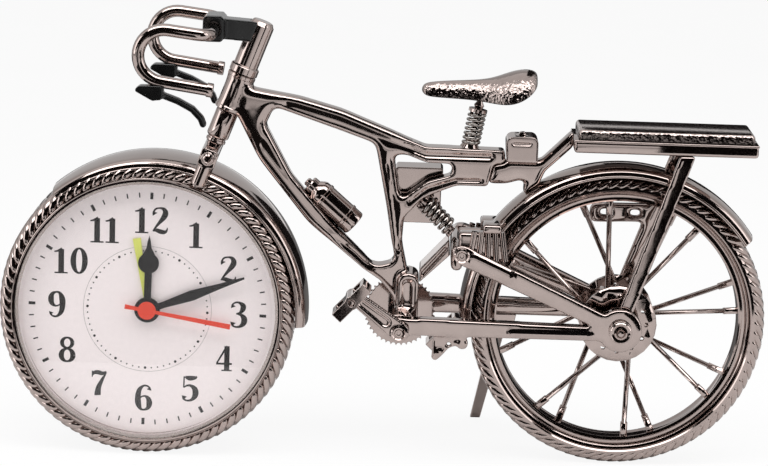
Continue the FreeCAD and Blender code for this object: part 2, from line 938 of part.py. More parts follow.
def stays():
    """The two moulded rear stays, each a seat stay and a chain stay that meet in a dropout."""
    a = axle_z
    half = stay_width / 2
    for name, sign in (("near_stay", -1), ("far_stay", 1)):
        y0, y1 = both_ways(sign, stay_inner, stay_outer)
        rib0, rib1 = both_ways(sign, stay_outer, stay_outer + stay_rib)
        socket = [(crank_x, crank_z - 1.5, 0), (crank_x, crank_z + 3.3, 0),
                  (crank_x + 8.5, crank_z + 3.1, 0.8), (crank_x + 8.5, crank_z - 1.6, 0.8)]
        body = link((rear_x, a), pivot, half, half + 0.6, y0, y1)
        body = body.fuse([
            link((rear_x, a - 1.2), (crank_x + 6.0, crank_z + 0.9), half - 0.3, half + 0.3, y0, y1),
            disc(rear_x, a, dropout_radius, y0, y1, 2 * boss_flats),
            disc(crank_x, crank_z, shell_radius, y0, y1, tube_flats),
            plate(socket, y0, y1),
            link((24.5, a + 19.0), (34.5, a + 14.5), half - 0.5, half - 0.5, rib0, rib1),
            link((36.0, a - 1.6), (58.0, a - 1.5), 0.55, 0.55, rib0, rib1),
        ])
        for x, z, radius in ((rear_x, a, axle_radius + seat_gap), (crank_x, crank_z, axle_radius + running),
                             (pivot[0], pivot[1], pivot_pin)):
            body = body.cut(disc(x, z, radius, y0 - bite, y1 + bite, tube_flats))
        if sign < 0:
            body = body.fuse(stay_lug(y0 + lug_in))
        save(name, body)


def stay_lug(y0):
    """The pierced lug that hangs under the near chain stay behind the crank."""
    y1 = y0 + lug_thick
    outline = [(14.4, crank_z - 1.0, 0), (23.8, crank_z - 1.0, 0), (23.6, crank_z - 3.4, 1.2),
               (19.0, crank_z - 5.0, 1.0), (15.4, crank_z - 9.0, 1.0), (14.0, crank_z - 8.6, 0.8)]
    lug = plate(outline, y0, y1).cut(disc(18.8, crank_z - 3.9, 0.7, y0, y1, pin_flats))
    ring_boss = disc(16.4, crank_z - 6.4, 1.0, y0 - 0.4, y1, boss_flats)
    pivot_boss = disc(22.6, crank_z - 3.6, 1.7, y0 - 0.6, y1 + 1.0, boss_flats)
    return lug.fuse([ring_boss, pivot_boss])


def stay_bridge():
    """The ribbed block that ties both stays to the frame in front of the rear mudguard."""
    a = axle_z
    inner = stay_inner - seat_gap
    wall = rear_guard_half + guard_gap
    core = [(18.6, a + 15.6, 0.6), (18.2, a + 22.4, 0.8), (21.4, a + 27.4, 1.0), (30.2, a + 27.4, 0.6),
            (30.2, a + 15.0, 0.6)]
    cheek = [(21.4, a + 17.5, 0.5), (21.4, a + 27.4, 0.8), (28.0, a + 27.4, 1.0), (36.6, a + 20.4, 0.8),
             (36.4, a + 16.2, 0.5), (30.0, a + 19.0, 0)]
    body = plate(core, -inner, inner)
    for sign in (-1, 1):
        body = body.fuse(plate(cheek, *both_ways(sign, wall, inner)))
    for i in range(bridge_ribs):
        x = pivot_x + 1.8 + bridge_rib_pitch * i
        body = body.fuse(block(x, x + bridge_rib, -inner, inner, a + 26.7, a + 26.7 + bridge_rib))
    cap = Vector(24.4, 0, a + 27.0)
    body = body.fuse(rod(cap, cap + Vector(0, 0, 2.0), bridge_cap_radius, boss_flats))
    body = body.cut(disc(rear_x, a, guard_crown + guard_gap, -wall, wall))
    pin_end = stay_outer + spacer_gap
    pin = disc(pivot[0], pivot[1], pivot_pin - running, -pin_end, pin_end, boss_flats)
    save("stay_bridge", body.fuse(pin))


def rocker_link():
    """The bar from the frame's foot to the stay bridge, with a sunken web in each side."""
    half = foot_half - 1.0
    front = crank_x + 5.25
    outline = [(front, crank_z + 11.0, 0), (front, crank_z + 15.0, 0.5), (18.1, axle_z + 22.2, 0),
               (18.5, axle_z + 17.6, 0)]
    web = [(front + 0.55, crank_z + 12.4, 0), (front + 0.55, crank_z + 14.0, 0.2),
           (17.4, axle_z + 20.4, 0.2), (17.5, axle_z + 19.0, 0)]
    body = plate(outline, -half, half)
    for y in (-half, half - channel_depth):
        body = body.cut(plate(web, y, y + channel_depth))
    save("rocker_link", body.cut(parts["stay_bridge"]))


def shock():
    """The shock absorber between the rear arch and the stay bridge: a rod with two seats and a coil."""
    high = Vector(9.6, 0, frame_z + 32.6)
    low = Vector(19.4, 0, axle_z + 23.4)
    along = (high - low).normalize()
    seat_high = (high - low).Length - shock_high_seat
    seats = []
    for start in (shock_low_seat - shock_flange_thick, seat_high):
        face = low + along * start
        seats.append(rod(face, face + along * shock_flange_thick, shock_flange, boss_flats))
    stops = seated_coil(low, along, shock_low_seat, seat_high, shock_wire, shock_coil, shock_turns,
                        "shock_spring")
    body = rod(low, high, shock_core, pin_flats).fuse(seats + stops)
    save("shock_rod", body.cut(parts["main_frame"]).cut(parts["stay_bridge"]))


def saddle():
    """The saddle on its sprung post."""
    a = frame_z
    lean = math.radians(post_lean)
    foot = Vector(post_foot_x, 0, a + post_foot_rise)
    along = Vector(math.sin(lean), 0, math.cos(lean))
    seat = post_base_height + post_seat_thick
    flange = post_height - 1.6
    ball = flange + post_flange_thick + post_ball * 0.7
    flange_top = flange + post_flange_thick
    profile = [(0, post_base), (post_base_height, post_neck)]
    profile += [(post_base_height + ease, post_seat), (seat, post_seat), (seat + ease, post_core)]
    profile += [(flange, post_core), (flange + ease, post_flange), (flange_top, post_flange)]
    profile += [(flange_top + ease, post_ball * 0.7), (ball, post_ball), (ball + post_ball * 0.7, post_core)]
    profile += [(post_height + post_in_saddle, post_core)]
    body = lathe(foot, along, profile, boss_flats)
    body = body.fuse(seated_coil(foot, along, seat, flange, post_wire, post_coil, post_turns, "seat_spring"))
    save("seat_post", body.cut(parts["main_frame"]))

    # stations along the saddle: x, half width, lower edge, middle of the underside, top
    stations = [
        (8.9, 1.6, 63.6, 63.4, 64.9),
        (9.8, 2.4, 62.7, 63.1, 65.9),
        (11.4, 2.9, 62.2, 62.9, 66.4),
        (16.0, 3.5, 62.0, 63.1, 66.9),
        (23.0, 4.2, 61.8, 63.0, 67.3),
        (26.5, 5.3, 61.4, 63.0, 67.7),
        (29.5, 7.2, 61.1, 63.2, 68.4),
        (32.5, 9.0, 60.9, 63.9, 69.6),
        (35.5, 9.9, 61.4, 65.0, 70.6),
        (38.4, 9.6, 63.0, 66.4, 70.9),
        (40.4, 8.0, 65.0, 67.1, 70.4),
        (41.4, 5.6, 66.8, 67.7, 69.4),
    ]
    rings = []
    for x, half, edge, under, high in stations:
        points = []
        for i in range(2 * saddle_flats):
            turn = math.pi * i / saddle_flats
            rise = high - edge if turn < math.pi else edge - under
            points.append(Vector(x, -half * math.cos(turn), a + edge + rise * math.sin(turn)))
        rings.append(points)
    save("saddle", skin(rings).cut(parts["seat_post"]))


def guards():
    """Both mudguards. The front one bears on the drum through pads under its crown."""
    front = arched_guard(front_x, front_guard_half, front_guard_from, front_guard_to)
    for angle in guard_pads:
        low = front_x + wheel_radius + guard_pad_gap
        high = front_x + guard_crown - guard_thick / 2
        pad = block(low, high, -guard_pad_half, guard_pad_half,
                    axle_z - guard_pad_width / 2, axle_z + guard_pad_width / 2)
        pad.rotate(Vector(front_x, 0, axle_z), -side, angle)
        front = front.fuse(pad)
    save("front_mudguard", front)
    save("rear_mudguard", arched_guard(rear_x, rear_guard_half, rear_guard_from, rear_guard_to))


def steering():
    """Everything between the crown over the clock wheel and the top of the stem."""
    body = rod(column(crown_high), column(head_low - cover_gap), column_radius, tube_flats)
    for i in range(2):
        low = crown_high + seat_gap + i * (ring_height + ring_step)
        body = body.fuse(rod(column(low), column(low + ring_height), ring_radius + 0.3 * i, tube_flats))
    shaft = rod(column(crown_high - steerer_into_crown), column(steerer_top), steerer_radius)
    save("steerer", body.fuse(shaft))

    stem = rod(column(stem_low), column(stem_top), stem_radius)
    stem = stem.fuse([
        rod(column(stem_low), column(stem_low + stem_collar_height), stem_collar, tube_flats),
        rod(column(stem_top), column(stem_top + stem_cap), stem_radius - stem_cap, tube_flats),
    ])
    hollow = rod(column(stem_low - bite), column(steerer_top + seat_gap), steerer_radius + running)
    save("stem", stem.cut(hollow))


def fork_crown():
    """A cross block over the mudguard, with a clip and a screw on each side of the drum."""
    reach = front_guard_half + seat_gap
    outer = reach + clip_radius
    half = crown_width / 2
    corners = []
    for s, off in ((crown_low, -half), (crown_high, -half), (crown_high, half), (crown_low, half)):
        corner = column(s, off)
        corners.append((corner.x, corner.z, 0.6))
    middle = column((crown_low + crown_high) / 2)
    crown = plate(corners, -outer, outer)
    for sign in (-1, 1):
        top = column(crown_low + bite, 0, sign * reach)
        low = column(crown_low - clip_drop, 0, sign * reach)
        keep = block(top.x - 10, top.x + 10, *both_ways(sign, reach, outer), low.z - 5, top.z + 5)
        y0, y1 = both_ways(sign, outer, outer + screw_height)
        screw = disc(middle.x, middle.z, screw_radius, y0, y1, boss_flats)
        crown = crown.fuse([rod(low, top, clip_radius, tube_flats).common(keep), screw])
    hole_low = column(crown_high - steerer_into_crown - seat_gap)
    save("fork_crown", crown.cut(rod(hole_low, column(crown_high + bite), steerer_radius + running)))


def handlebar():
    """Drop handlebar, its clamp on the stem and the two brake levers."""
    seat = column(clamp_at) + Vector(-clamp_offset, 0, clamp_lift)
    slope = math.radians(bar_slope)
    forward = Vector(-bar_forward, 0, bar_rise).normalize()
    up = Vector(forward.z, 0, -forward.x)
    back = Vector(math.cos(slope), 0, -math.sin(slope))
    out = Vector(-math.sin(slope), 0, -math.cos(slope))

    # the far half of the bar, from the middle out
    corner = seat + side * bar_half
    straight_end = corner - side * bar_turn
    bend_end = corner + forward * bar_turn
    bend_middle = straight_end + forward * bar_turn + (side - forward) * (bar_turn * math.sqrt(0.5))
    drop_start = corner + forward * bar_forward
    centre = drop_start - up * bar_bend
    drop_middle = centre + (forward - back).normalize() * bar_bend
    drop_end = centre + out * bar_bend
    grip_end = drop_end + back * bar_grip_end
    half = bent_rod([
        Part.LineSegment(seat, straight_end).toShape(),
        Part.Arc(straight_end, bend_middle, bend_end).toShape(),
        Part.LineSegment(bend_end, drop_start).toShape(),
        Part.Arc(drop_start, drop_middle, drop_end).toShape(),
        Part.LineSegment(drop_end, grip_end).toShape(),
    ], bar_radius, bar_flats)
    near = [[Vector(p.x, -p.y, p.z) for p in points] for points in half]
    bar = skin(near[:0:-1] + half)
    cap_end = grip_end + back * 0.5
    cap = rod(cap_end - back * grip_cap, cap_end, bar_radius + grip_cap_wall, bar_flats)
    bar = bar.fuse([cap, cap.mirror(Vector(0, 0, 0), side)])
    save("handlebar", bar)

    axis = column(clamp_at)
    neck = [(seat.x, seat.z - neck_half, 0), (seat.x, seat.z + neck_half, 0),
            (axis.x + bite, axis.z + neck_half, 0), (axis.x + bite, axis.z - neck_half, 0)]
    head = [(seat.x - 3.2, seat.z - clamp_radius, 1.0), (seat.x - 3.0, seat.z + clamp_radius, 1.0),
            (seat.x + 3.0, seat.z + clamp_radius, 1.0), (seat.x + 3.0, seat.z - clamp_radius, 1.0)]
    clamp = plate(neck, -neck_width / 2, neck_width / 2).fuse(plate(head, -clamp_half, clamp_half))
    clamp = clamp.cut(rod(column(stem_low), column(stem_top + 10), stem_radius + running))
    bar_hole = disc(seat.x, seat.z, bar_radius + running, -clamp_half, clamp_half)
    save("stem_clamp", biggest(clamp.cut(bar_hole)))

    x, y, z = drop_end
    head = [(x - 7.2, z - 2.4, 0.4), (x - 5.6, z - 1.0, 0.8), (x + 1.0, z - 1.0, 0.6),
            (x + 1.0, z - 4.8, 0.8), (x - 2.0, z - 5.2, 1.2)]
    blade = [(x, z - 3.4), (x + 5.0, z - 5.2), (x + 9.0, z - 7.3), (x + 11.4, z - 9.8), (x + 12.0, z - 11.4)]
    lever = plate(head, y - lever_half, y + lever_half)
    for start, end in zip(blade, blade[1:]):
        lever = lever.fuse(link(start, end, blade_radius, blade_radius, y - blade_half, y + blade_half))
    lever = biggest(lever.cut(parts["handlebar"]))
    save("far_lever", lever)
    save("near_lever", lever.mirror(Vector(0, 0, 0), side))


def clock_drum():
    """The clock case: tread ring, bezel, lens and dial."""
    tyre = tread_ring(front_x, drum_half, drum_bore, front_smooth, front_shoulder)
    for angle in cover_boss_angles:
        turn = math.radians(angle)
        reach = drum_bore - 1.0
        x, z = front_x + reach * math.cos(turn), axle_z + reach * math.sin(turn)
        tyre = tyre.fuse(disc(x, z, cover_boss, back_inner - cover_boss_length, back_inner, boss_flats))
    save("front_tyre", tyre)

    face = -drum_half - bezel_proud
    save("bezel", hoop([
        (bezel_radius, face),
        (bezel_outer, face + bezel_round),
        (bezel_outer, dial_front),
        (bezel_radius - lens_ledge, dial_front),
        (bezel_radius - lens_ledge, lens_back),
        (bezel_radius, lens_back),
    ], front_x, drum_flats))

    lens_radius = bezel_radius - running
    lens_axis = Vector(front_x, lens_front, axle_z)
    rings = []
    for inset, depth in ((lens_bevel, 0), (0, lens_bevel_depth), (0, lens_thick)):
        spoke = Vector(lens_radius - inset, 0, 0)
        rings.append(circle(lens_axis + side * depth, spoke, side, drum_flats))
    save("lens", skin(rings))
    dial = disc(front_x, axle_z, bezel_outer - running, dial_front, dial_back, drum_flats)
    save("dial", dial.cut(disc(front_x, axle_z, tube_radii[3] + 2 * running, dial_front, dial_back)))


def knob_places():
    """Centres of the two setting shafts, from the gear pairs that they carry."""
    places = []
    for teeth, angle in ((minute_teeth + motion_teeth, time_knob_angle),
                         (alarm_teeth + alarm_pinion_teeth, alarm_knob_angle)):
        reach = gear_module * teeth / 2
        turn = math.radians(angle)
        places.append((front_x + reach * math.cos(turn), axle_z + reach * math.sin(turn)))
    return places


def layer(number):
    """Where a gear layer lies, counted back from the inside of the case."""
    low = case_inside + gear_clear + number * gear_layer
    return low, low + gear_face


def movement():
    """The movement case with its shaft bridge, cell, contacts, circuit board, coil and buzzer."""
    x0, z0 = front_x, axle_z
    in_x0, in_x1 = x0 - case_half_width + case_wall, x0 + case_half_width - case_wall
    in_z0, in_z1 = z0 - case_half_height + case_wall, z0 + case_half_height - case_wall
    cell_z = in_z0 + cell_gap + cell_radius
    bay_top = cell_z + cell_radius + cell_gap

    case = block(in_x0 - case_wall, in_x1 + case_wall, case_front, case_back,
                 in_z0 - case_wall, in_z1 + case_wall)
    for low, high in ((in_z0, bay_top), (bay_top + case_wall, in_z1)):
        case = case.cut(block(in_x0, in_x1, case_inside, case_back, low, high))
    save("movement_case", case.cut(disc(x0, z0, tube_radii[3] + 2 * running, case_front, case_inside)))

    # a strap over the shafts on one leg, clear of the largest wheel
    strap_low = layer(5)[0] + 0.3
    strap_high = strap_low + bridge_thick
    leg = x0 + gear_module * alarm_teeth / 2 + 1.8
    low, high = z0 - bridge_width / 2, z0 + bridge_width / 2
    strap = block(x0 - bridge_width / 2, leg + bridge_leg, strap_low, strap_high, low, high)
    strap = strap.fuse(block(leg, leg + bridge_leg, case_inside, strap_high, low, high))
    save("shaft_bridge", strap.cut(disc(x0, z0, second_shaft + running, strap_low, strap_high)))

    cell_y = (case_inside + case_back) / 2
    along = Vector(1, 0, 0)
    foot = Vector(in_x0 + contact_thick + spring_height, cell_y, cell_z)
    top = foot + along * cell_length
    cell = rod(foot, top, cell_radius)
    save("battery_cell", cell.fuse(rod(top, top + along * cell_nub, cell_nub_radius, boss_flats)))
    contacts = []
    for x in (in_x0, in_x1 - contact_thick):
        contacts.append(block(x, x + contact_thick, cell_y - contact_half, cell_y + contact_half,
                              cell_z - contact_half, cell_z + contact_half))
    spring = lathe(foot - along * spring_height, along, [(0, spring_wide), (spring_height, spring_narrow)])
    save("cell_contacts", Part.makeCompound([contacts[0].fuse(spring), contacts[1]]))

    board_x1 = in_x1 - spacer_gap
    board_z0 = bay_top + case_wall + bite
    board_y = case_inside + board_thick
    board = block(board_x1 - board_width, board_x1, case_inside, board_y, board_z0, in_z1 - bite)
    save("circuit_board", board)
    coil_x = board_x1 - board_width / 2
    coil_y = board_y + bobbin_half
    coil_z0 = board_z0 + 2.0
    coil_z1 = coil_z0 + bobbin_length
    bobbin = rod(Vector(coil_x, coil_y, coil_z0), Vector(coil_x, coil_y, coil_z1), winding_radius, boss_flats)
    for z in (coil_z0, coil_z1 - bobbin_cheek):
        bobbin = bobbin.fuse(block(coil_x - bobbin_half, coil_x + bobbin_half,
                                   board_y, board_y + 2 * bobbin_half, z, z + bobbin_cheek))
    save("motor_coil", bobbin)

    buzzer_x = in_x0 + 1.3 + buzzer_radius
    buzzer_z = in_z1 - 2.3 - buzzer_radius
    buzzer_front = case_back - buzzer_thick
    save("buzzer", disc(buzzer_x, buzzer_z, buzzer_radius, buzzer_front, case_back, 2 * boss_flats))
    back((buzzer_x, buzzer_z), (in_x0, in_x1, in_z0, bay_top))


def back(buzzer_place, bay):
    """The back cover with its knob holes, sound slots, battery door and alarm switch."""
    x0, z0 = front_x, axle_z
    bay_x0, bay_x1, bay_z0, bay_z1 = bay
    door = (bay_x0 + cell_gap, bay_x1 - cell_gap, bay_z0 + cell_gap - door_margin, bay_z1 - cell_gap)
    cover = disc(x0, z0, bezel_outer - running, back_inner, back_outer, drum_flats)
    cover = cover.cut(block(door[0], door[1], back_inner, back_outer, door[2], door[3]))
    for x, z in knob_places():
        cover = cover.cut(disc(x, z, knob_shaft + running, back_inner, back_outer))
    middle = sound_slots // 2
    for i in range(sound_slots):
        half = buzzer_radius * 0.65 - 0.6 * abs(i - middle)
        z = buzzer_place[1] + sound_pitch * (i - middle)
        cover = cover.cut(block(buzzer_place[0] - half, buzzer_place[0] + half, back_inner, back_outer,
                                z - sound_slot / 2, z + sound_slot / 2))
    x, z = x0 + switch_out, z0 - switch_drop
    length, width = switch_length / 2, switch_width / 2
    cover = cover.cut(block(x - length - cover_gap, x + length + switch_travel + cover_gap,
                            back_inner, back_outer, z - width - cover_gap, z + width + cover_gap))
    save("back_cover", cover)

    top = back_outer + switch_proud
    slider = block(x - length, x + length, back_inner, top, z - width, z + width)
    for i in (-1, 0, 1):
        groove = x + 1.2 * i
        slider = slider.cut(block(groove - switch_groove / 2, groove + switch_groove / 2,
                                  top - switch_groove, top, z - width, z + width))
    save("alarm_switch", slider)
    lid = block(door[0] + cover_gap, door[1] - cover_gap, back_inner, back_outer, door[2] + cover_gap,
                door[3] - cover_gap)
    grip = block(x0 - door_grip_half, x0 + door_grip_half, back_outer, back_outer + door_grip_height,
                 door[2] + 1.0, door[2] + 1.0 + door_margin)
    save("battery_cover", lid.fuse(grip))


def pointer(outline, angle, y, hub, tube, bore, tube_end, wheel):
    """A flat hand on a hub disc, on its tube with its wheel. The outline gives (along, half width)."""
    x, z = front_x, axle_z
    right = [Vector(x + half, y, z + along) for along, half in outline]
    left = [Vector(x - half, y, z + along) for along, half in outline[::-1] if half > 0]
    blade = prism(right + left, side * hand_thick)
    blade = blade.fuse(disc(x, z, hub, y, y + hand_thick, 2 * boss_flats))
    blade.rotate(Vector(x, 0, z), side, angle)
    body = blade.fuse([disc(x, z, tube, y, tube_end, tube_flats if bore else 0), wheel])
    return body.cut(disc(x, z, bore, y - bite, tube_end + bite)) if bore else body


def hands():
    """Four hands on nested shafts, each with its wheel in the movement, and the setting knobs."""
    x, z = front_x, axle_z
    first_y = dial_front - hand_first - hand_thick
    alarm_y, hour_y, minute_y, second_y = [first_y - i * hand_step for i in range(4)]
    radii = tube_radii

    low, high = layer(0)
    wheel = toothed(alarm_teeth, gear_module, x, z, low, high)
    save("alarm_hand", pointer([(0, 0.4), (alarm_length, 1.15)], alarm_angle, alarm_y, alarm_hub, radii[3],
                               radii[2] + running, high, wheel))

    low, high = layer(1)
    wheel = toothed(hour_teeth, gear_module, x, z, low, high)
    shank = [(0, 1.0), (hour_eye_at, 1.0), (hour_eye_at + 2.4, 1.75), (hour_length - 3.6, 0.7),
             (hour_length - 1.8, 0.45), (hour_length, 0)]
    hour = pointer(shank, hour_angle, hour_y, hub_radius, radii[2], radii[1] + running, high, wheel)
    eye = disc(x, z + hour_eye_at, hour_eye, hour_y, hour_y + hand_thick, 2 * boss_flats)
    eye.rotate(Vector(x, 0, z), side, hour_angle)
    save("hour_hand", hour.fuse(eye))

    low, high = layer(2)
    wheel = toothed(minute_teeth, gear_module, x, z, low, high, 180.0 / minute_teeth + time_knob_angle)
    leaf = [(0, 1.0), (5.0, 0.9), (minute_belly, 1.5), (minute_length * 0.75, 0.75), (minute_length, 0.3)]
    save("minute_hand", pointer(leaf, minute_angle, minute_y, minute_hub, radii[1],
                                radii[0] + running, high, wheel))

    low, high = layer(3)
    wheel = toothed(second_teeth, second_module, x, z, low + hand_thick, high + hand_thick)
    arm = [(-second_tail, 0.65), (0, 0.55), (second_length, 0.75)]
    shaft_end = layer(5)[0] + 2.0
    save("second_hand", pointer(arm, second_angle, second_y, cap_radius, radii[0], 0, shaft_end, wheel))

    knob_low = back_outer + knob_lift

    def knob(place, shaft_from):
        kx, kz = place
        grip = toothed(knob_teeth, 2 * (knob_radius - knob_tooth) / knob_teeth, kx, kz, knob_low,
                       knob_low + knob_height)
        return disc(kx, kz, knob_shaft, shaft_from, knob_low).fuse(grip)

    time_place, alarm_place = knob_places()
    low, high = layer(2)
    pinion_low, pinion_high = layer(1)
    wheel = toothed(motion_teeth, gear_module, *time_place, low, high, time_knob_angle + 180.0)
    pinion_turn = time_knob_angle * (1 + hour_teeth / motion_pinion_teeth)
    pinion_turn += 180.0 + 180.0 / motion_pinion_teeth
    pinion = toothed(motion_pinion_teeth, gear_module, *time_place, pinion_low, pinion_high, pinion_turn)
    save("time_knob", knob(time_place, pinion_low).fuse([wheel, pinion]))

    low, high = layer(0)
    pinion_turn = alarm_knob_angle * (1 + alarm_teeth / alarm_pinion_teeth)
    pinion_turn += 180.0 + 180.0 / alarm_pinion_teeth
    pinion = toothed(alarm_pinion_teeth, gear_module, *alarm_place, low, high, pinion_turn)
    save("alarm_knob", knob(alarm_place, low).fuse(pinion))


def rear_wheel():
    """The spoked rear wheel: a ribbed tyre on a moulded rim, with crossed spokes and a pierced hub."""
    inner = wheel_radius - rear_tyre_wall
    save("rear_tyre", tread_ring(rear_x, rear_half, inner, rear_smooth, rear_shoulder))

    outer = inner - running
    floor = outer - rim_wall
    near_edge = [(floor, -rim_half * 0.55), (outer - rim_lip, -rim_half), (outer, -rim_half)]
    far_edge = [(outer, rim_half), (outer - rim_lip, rim_half), (floor, rim_half * 0.55)]
    wheel = hoop(near_edge + far_edge, rear_x, rim_flats)

    hub = disc(rear_x, axle_z, hub_barrel, -hub_half + seat_gap, hub_half - seat_gap, 2 * boss_flats)
    for y in (-hub_half, hub_half - hub_flange_thick):
        hub = hub.fuse(disc(rear_x, axle_z, hub_flange, y, y + hub_flange_thick, 2 * boss_flats))
    reach = (hub_flange + hub_barrel) / 2
    holes = []
    for i in range(hub_holes):
        turn = 2 * math.pi * i / hub_holes
        holes.append(disc(rear_x + reach * math.cos(turn), axle_z + reach * math.sin(turn), hub_hole_radius,
                          -hub_half, hub_half, spoke_flats))
    hub = hub.cut(Part.makeCompound(holes))

    rods = []
    rim_reach = outer - rim_wall / 2
    for i in range(spoke_pairs):
        mean = spoke_first + i * 360.0 / spoke_pairs
        for sign in (-1, 1):
            root = math.radians(mean - sign * spoke_root_turn)
            tip = math.radians(mean + sign * spoke_rim_turn)
            start = Vector(rear_x + spoke_root * math.cos(root), sign * (hub_half - hub_flange_thick / 2),
                           axle_z + spoke_root * math.sin(root))
            end = Vector(rear_x + rim_reach * math.cos(tip), sign * spoke_dish,
                         axle_z + rim_reach * math.sin(tip))
            nipple = end + (start - end).normalize() * (nipple_length + rim_wall / 2)
            rods += [rod(start, end, spoke_radius, spoke_flats), rod(end, nipple, nipple_radius, spoke_flats)]
    wheel = wheel.fuse([hub] + rods)
    bore = disc(rear_x, axle_z, axle_radius + running, -hub_half - bite, hub_half + bite)
    save("rear_rim", wheel.cut(bore))


def rear_axle():
    """The axle with a spacer, a cap and a nut at each end."""
    axle = disc(rear_x, axle_z, axle_radius, -stay_outer, stay_outer)
    cap_end = stay_outer + axle_cap_thick
    for sign in (-1, 1):
        for radius, low, high in ((axle_radius + spacer_wall, hub_half + spacer_gap, stay_inner - seat_gap),
                                  (axle_cap_radius, stay_outer, cap_end),
                                  (axle_nut_radius, cap_end, cap_end + axle_nut_thick)):
            axle = axle.fuse(disc(rear_x, axle_z, radius, *both_ways(sign, low, high), tube_flats))
    save("rear_axle", axle)


def cranks():
    """Crank axle, chainring, both arms and both pedals."""
    save("crank_axle", disc(crank_x, crank_z, axle_radius, -crank_inner, crank_inner))

    ring_low = foot_half + 0.6
    points = []
    for i in range(chainring_teeth):
        for turn, drop in ((0, 0), (0.28, chainring_depth), (0.72, chainring_depth)):
            angle = 2 * math.pi * (i + turn) / chainring_teeth
            radius = chainring_radius - drop
            points.append(Vector(crank_x + radius * math.cos(angle), ring_low,
                                 crank_z + radius * math.sin(angle)))
    chainring = prism(points, side * chainring_thick)
    chainring = chainring.fuse(disc(crank_x, crank_z, chainring_hub, ring_low, stay_inner - 0.4, tube_flats))
    save("chainring", chainring.cut(disc(crank_x, crank_z, axle_radius + running, 0, stay_inner)))

    for name, sign, angle in (("near", -1, crank_angle), ("far", 1, crank_angle + 180)):
        turn = math.radians(angle)
        px = crank_x + crank_length * math.cos(turn)
        pz = crank_z + crank_length * math.sin(turn)

        def along(share):
            return crank_x + share * (px - crank_x), crank_z + share * (pz - crank_z)

        arm = link(along(0), along(1), crank_boss, crank_tip, *both_ways(sign, crank_inner, crank_outer))
        sunk = both_ways(sign, crank_outer - crank_groove, crank_outer)
        arm = arm.cut(link(along(0.28), along(0.8), 1.2, 0.9, *sunk))
        cap = disc(crank_x, crank_z, 2.0, *both_ways(sign, crank_outer, crank_outer + 0.5), boss_flats)
        pin = disc(px, pz, pedal_pin, *both_ways(sign, crank_outer, pedal_outer - 0.5))
        save("%s_crank" % name, arm.fuse([cap, pin]))

        y0, y1 = both_ways(sign, pedal_inner, pedal_outer)
        long_half, thin_half = pedal_length / 2, pedal_thick / 2
        body = block(px - long_half, px + long_half, y0, y1, pz - thin_half, pz + thin_half)
        spindle = thin_half + 0.35
        cage = long_half - pedal_bar
        for low, high in ((px - cage, px - spindle), (px + spindle, px + cage)):
            body = body.cut(block(low, high, y0 + pedal_bar, y1 - pedal_bar, pz - thin_half, pz + thin_half))
        body = body.fuse(disc(px, pz, spindle, y0, y1, tube_flats))
        body = body.cut(disc(px, pz, pedal_pin + running, y0 - bite, y1 + bite))
        body.rotate(Vector(px, 0, pz), side, -pedal_angle)
        save("%s_pedal" % name, body)


def kickstand():
    """The kickstand and the bracket that it swings on, under the far chain stay."""
    x, z = stand_top_x, stand_top_z
    leg_in = stay_outer + stand_gap
    leg_out = leg_in + stand_thick
    pin_end = leg_out + seat_gap
    outline = [(x - 3.6, crank_z - 0.2, 0.5), (x + 4.6, crank_z - 0.2, 0.5), (x + 3.0, z - 2.8, 1.6),
               (x - 3.0, z - 2.8, 1.6)]
    bracket = biggest(plate(outline, stay_inner, stay_outer).cut(parts["far_stay"]))
    pin = disc(x, z, stand_pin, stay_outer, pin_end)
    head = disc(x, z, stand_head, pin_end, pin_end + stand_head_thick, boss_flats)
    save("stand_bracket", bracket.fuse([pin, head]))

    leg = taper((x, z, stand_top_width, leg_in, leg_out),
                (stand_foot_x, 0, stand_foot_width, stand_reach - stand_foot_depth, stand_reach))
    stand = disc(x, z, stand_boss, leg_in, leg_out, tube_flats).fuse(leg)
    stand = stand.cut(disc(x, z, stand_pin + running, leg_in - bite, pin_end))
    recess = disc(x, z, stand_head + cover_gap, leg_out, pin_end + 3, tube_flats)
    save("kickstand", biggest(stand.cut(recess)))


def write():
    """Puts the origin on the floor under the middle of the whole clock and writes every piece."""
    os.makedirs("parts", exist_ok=True)
    for name, shape in parts.items():
        solids = shape.Solids
        if not solids or not shape.isValid():
            print("look at", name, shape.ShapeType, len(solids), shape.isValid())
        moved = (solids[0] if len(solids) == 1 else Part.makeCompound(solids)).copy()
        moved.translate(Vector(0, -middle_y, 0))
        moved.exportStep("parts/%s.step" % name)
    print("middle plane of the bicycle lies at y = %.3f" % -middle_y)


for make in (main_frame, frame_box, bottle, tool_box, rack_arm, rack, rack_stays, stays, stay_bridge,
             rocker_link, shock, saddle, guards, steering, fork_crown, handlebar, clock_drum, movement,
             hands, rear_wheel, rear_axle, cranks, kickstand):
    make()
write()
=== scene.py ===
import json
import math

import bmesh
import bpy
from mathutils import Matrix, Vector

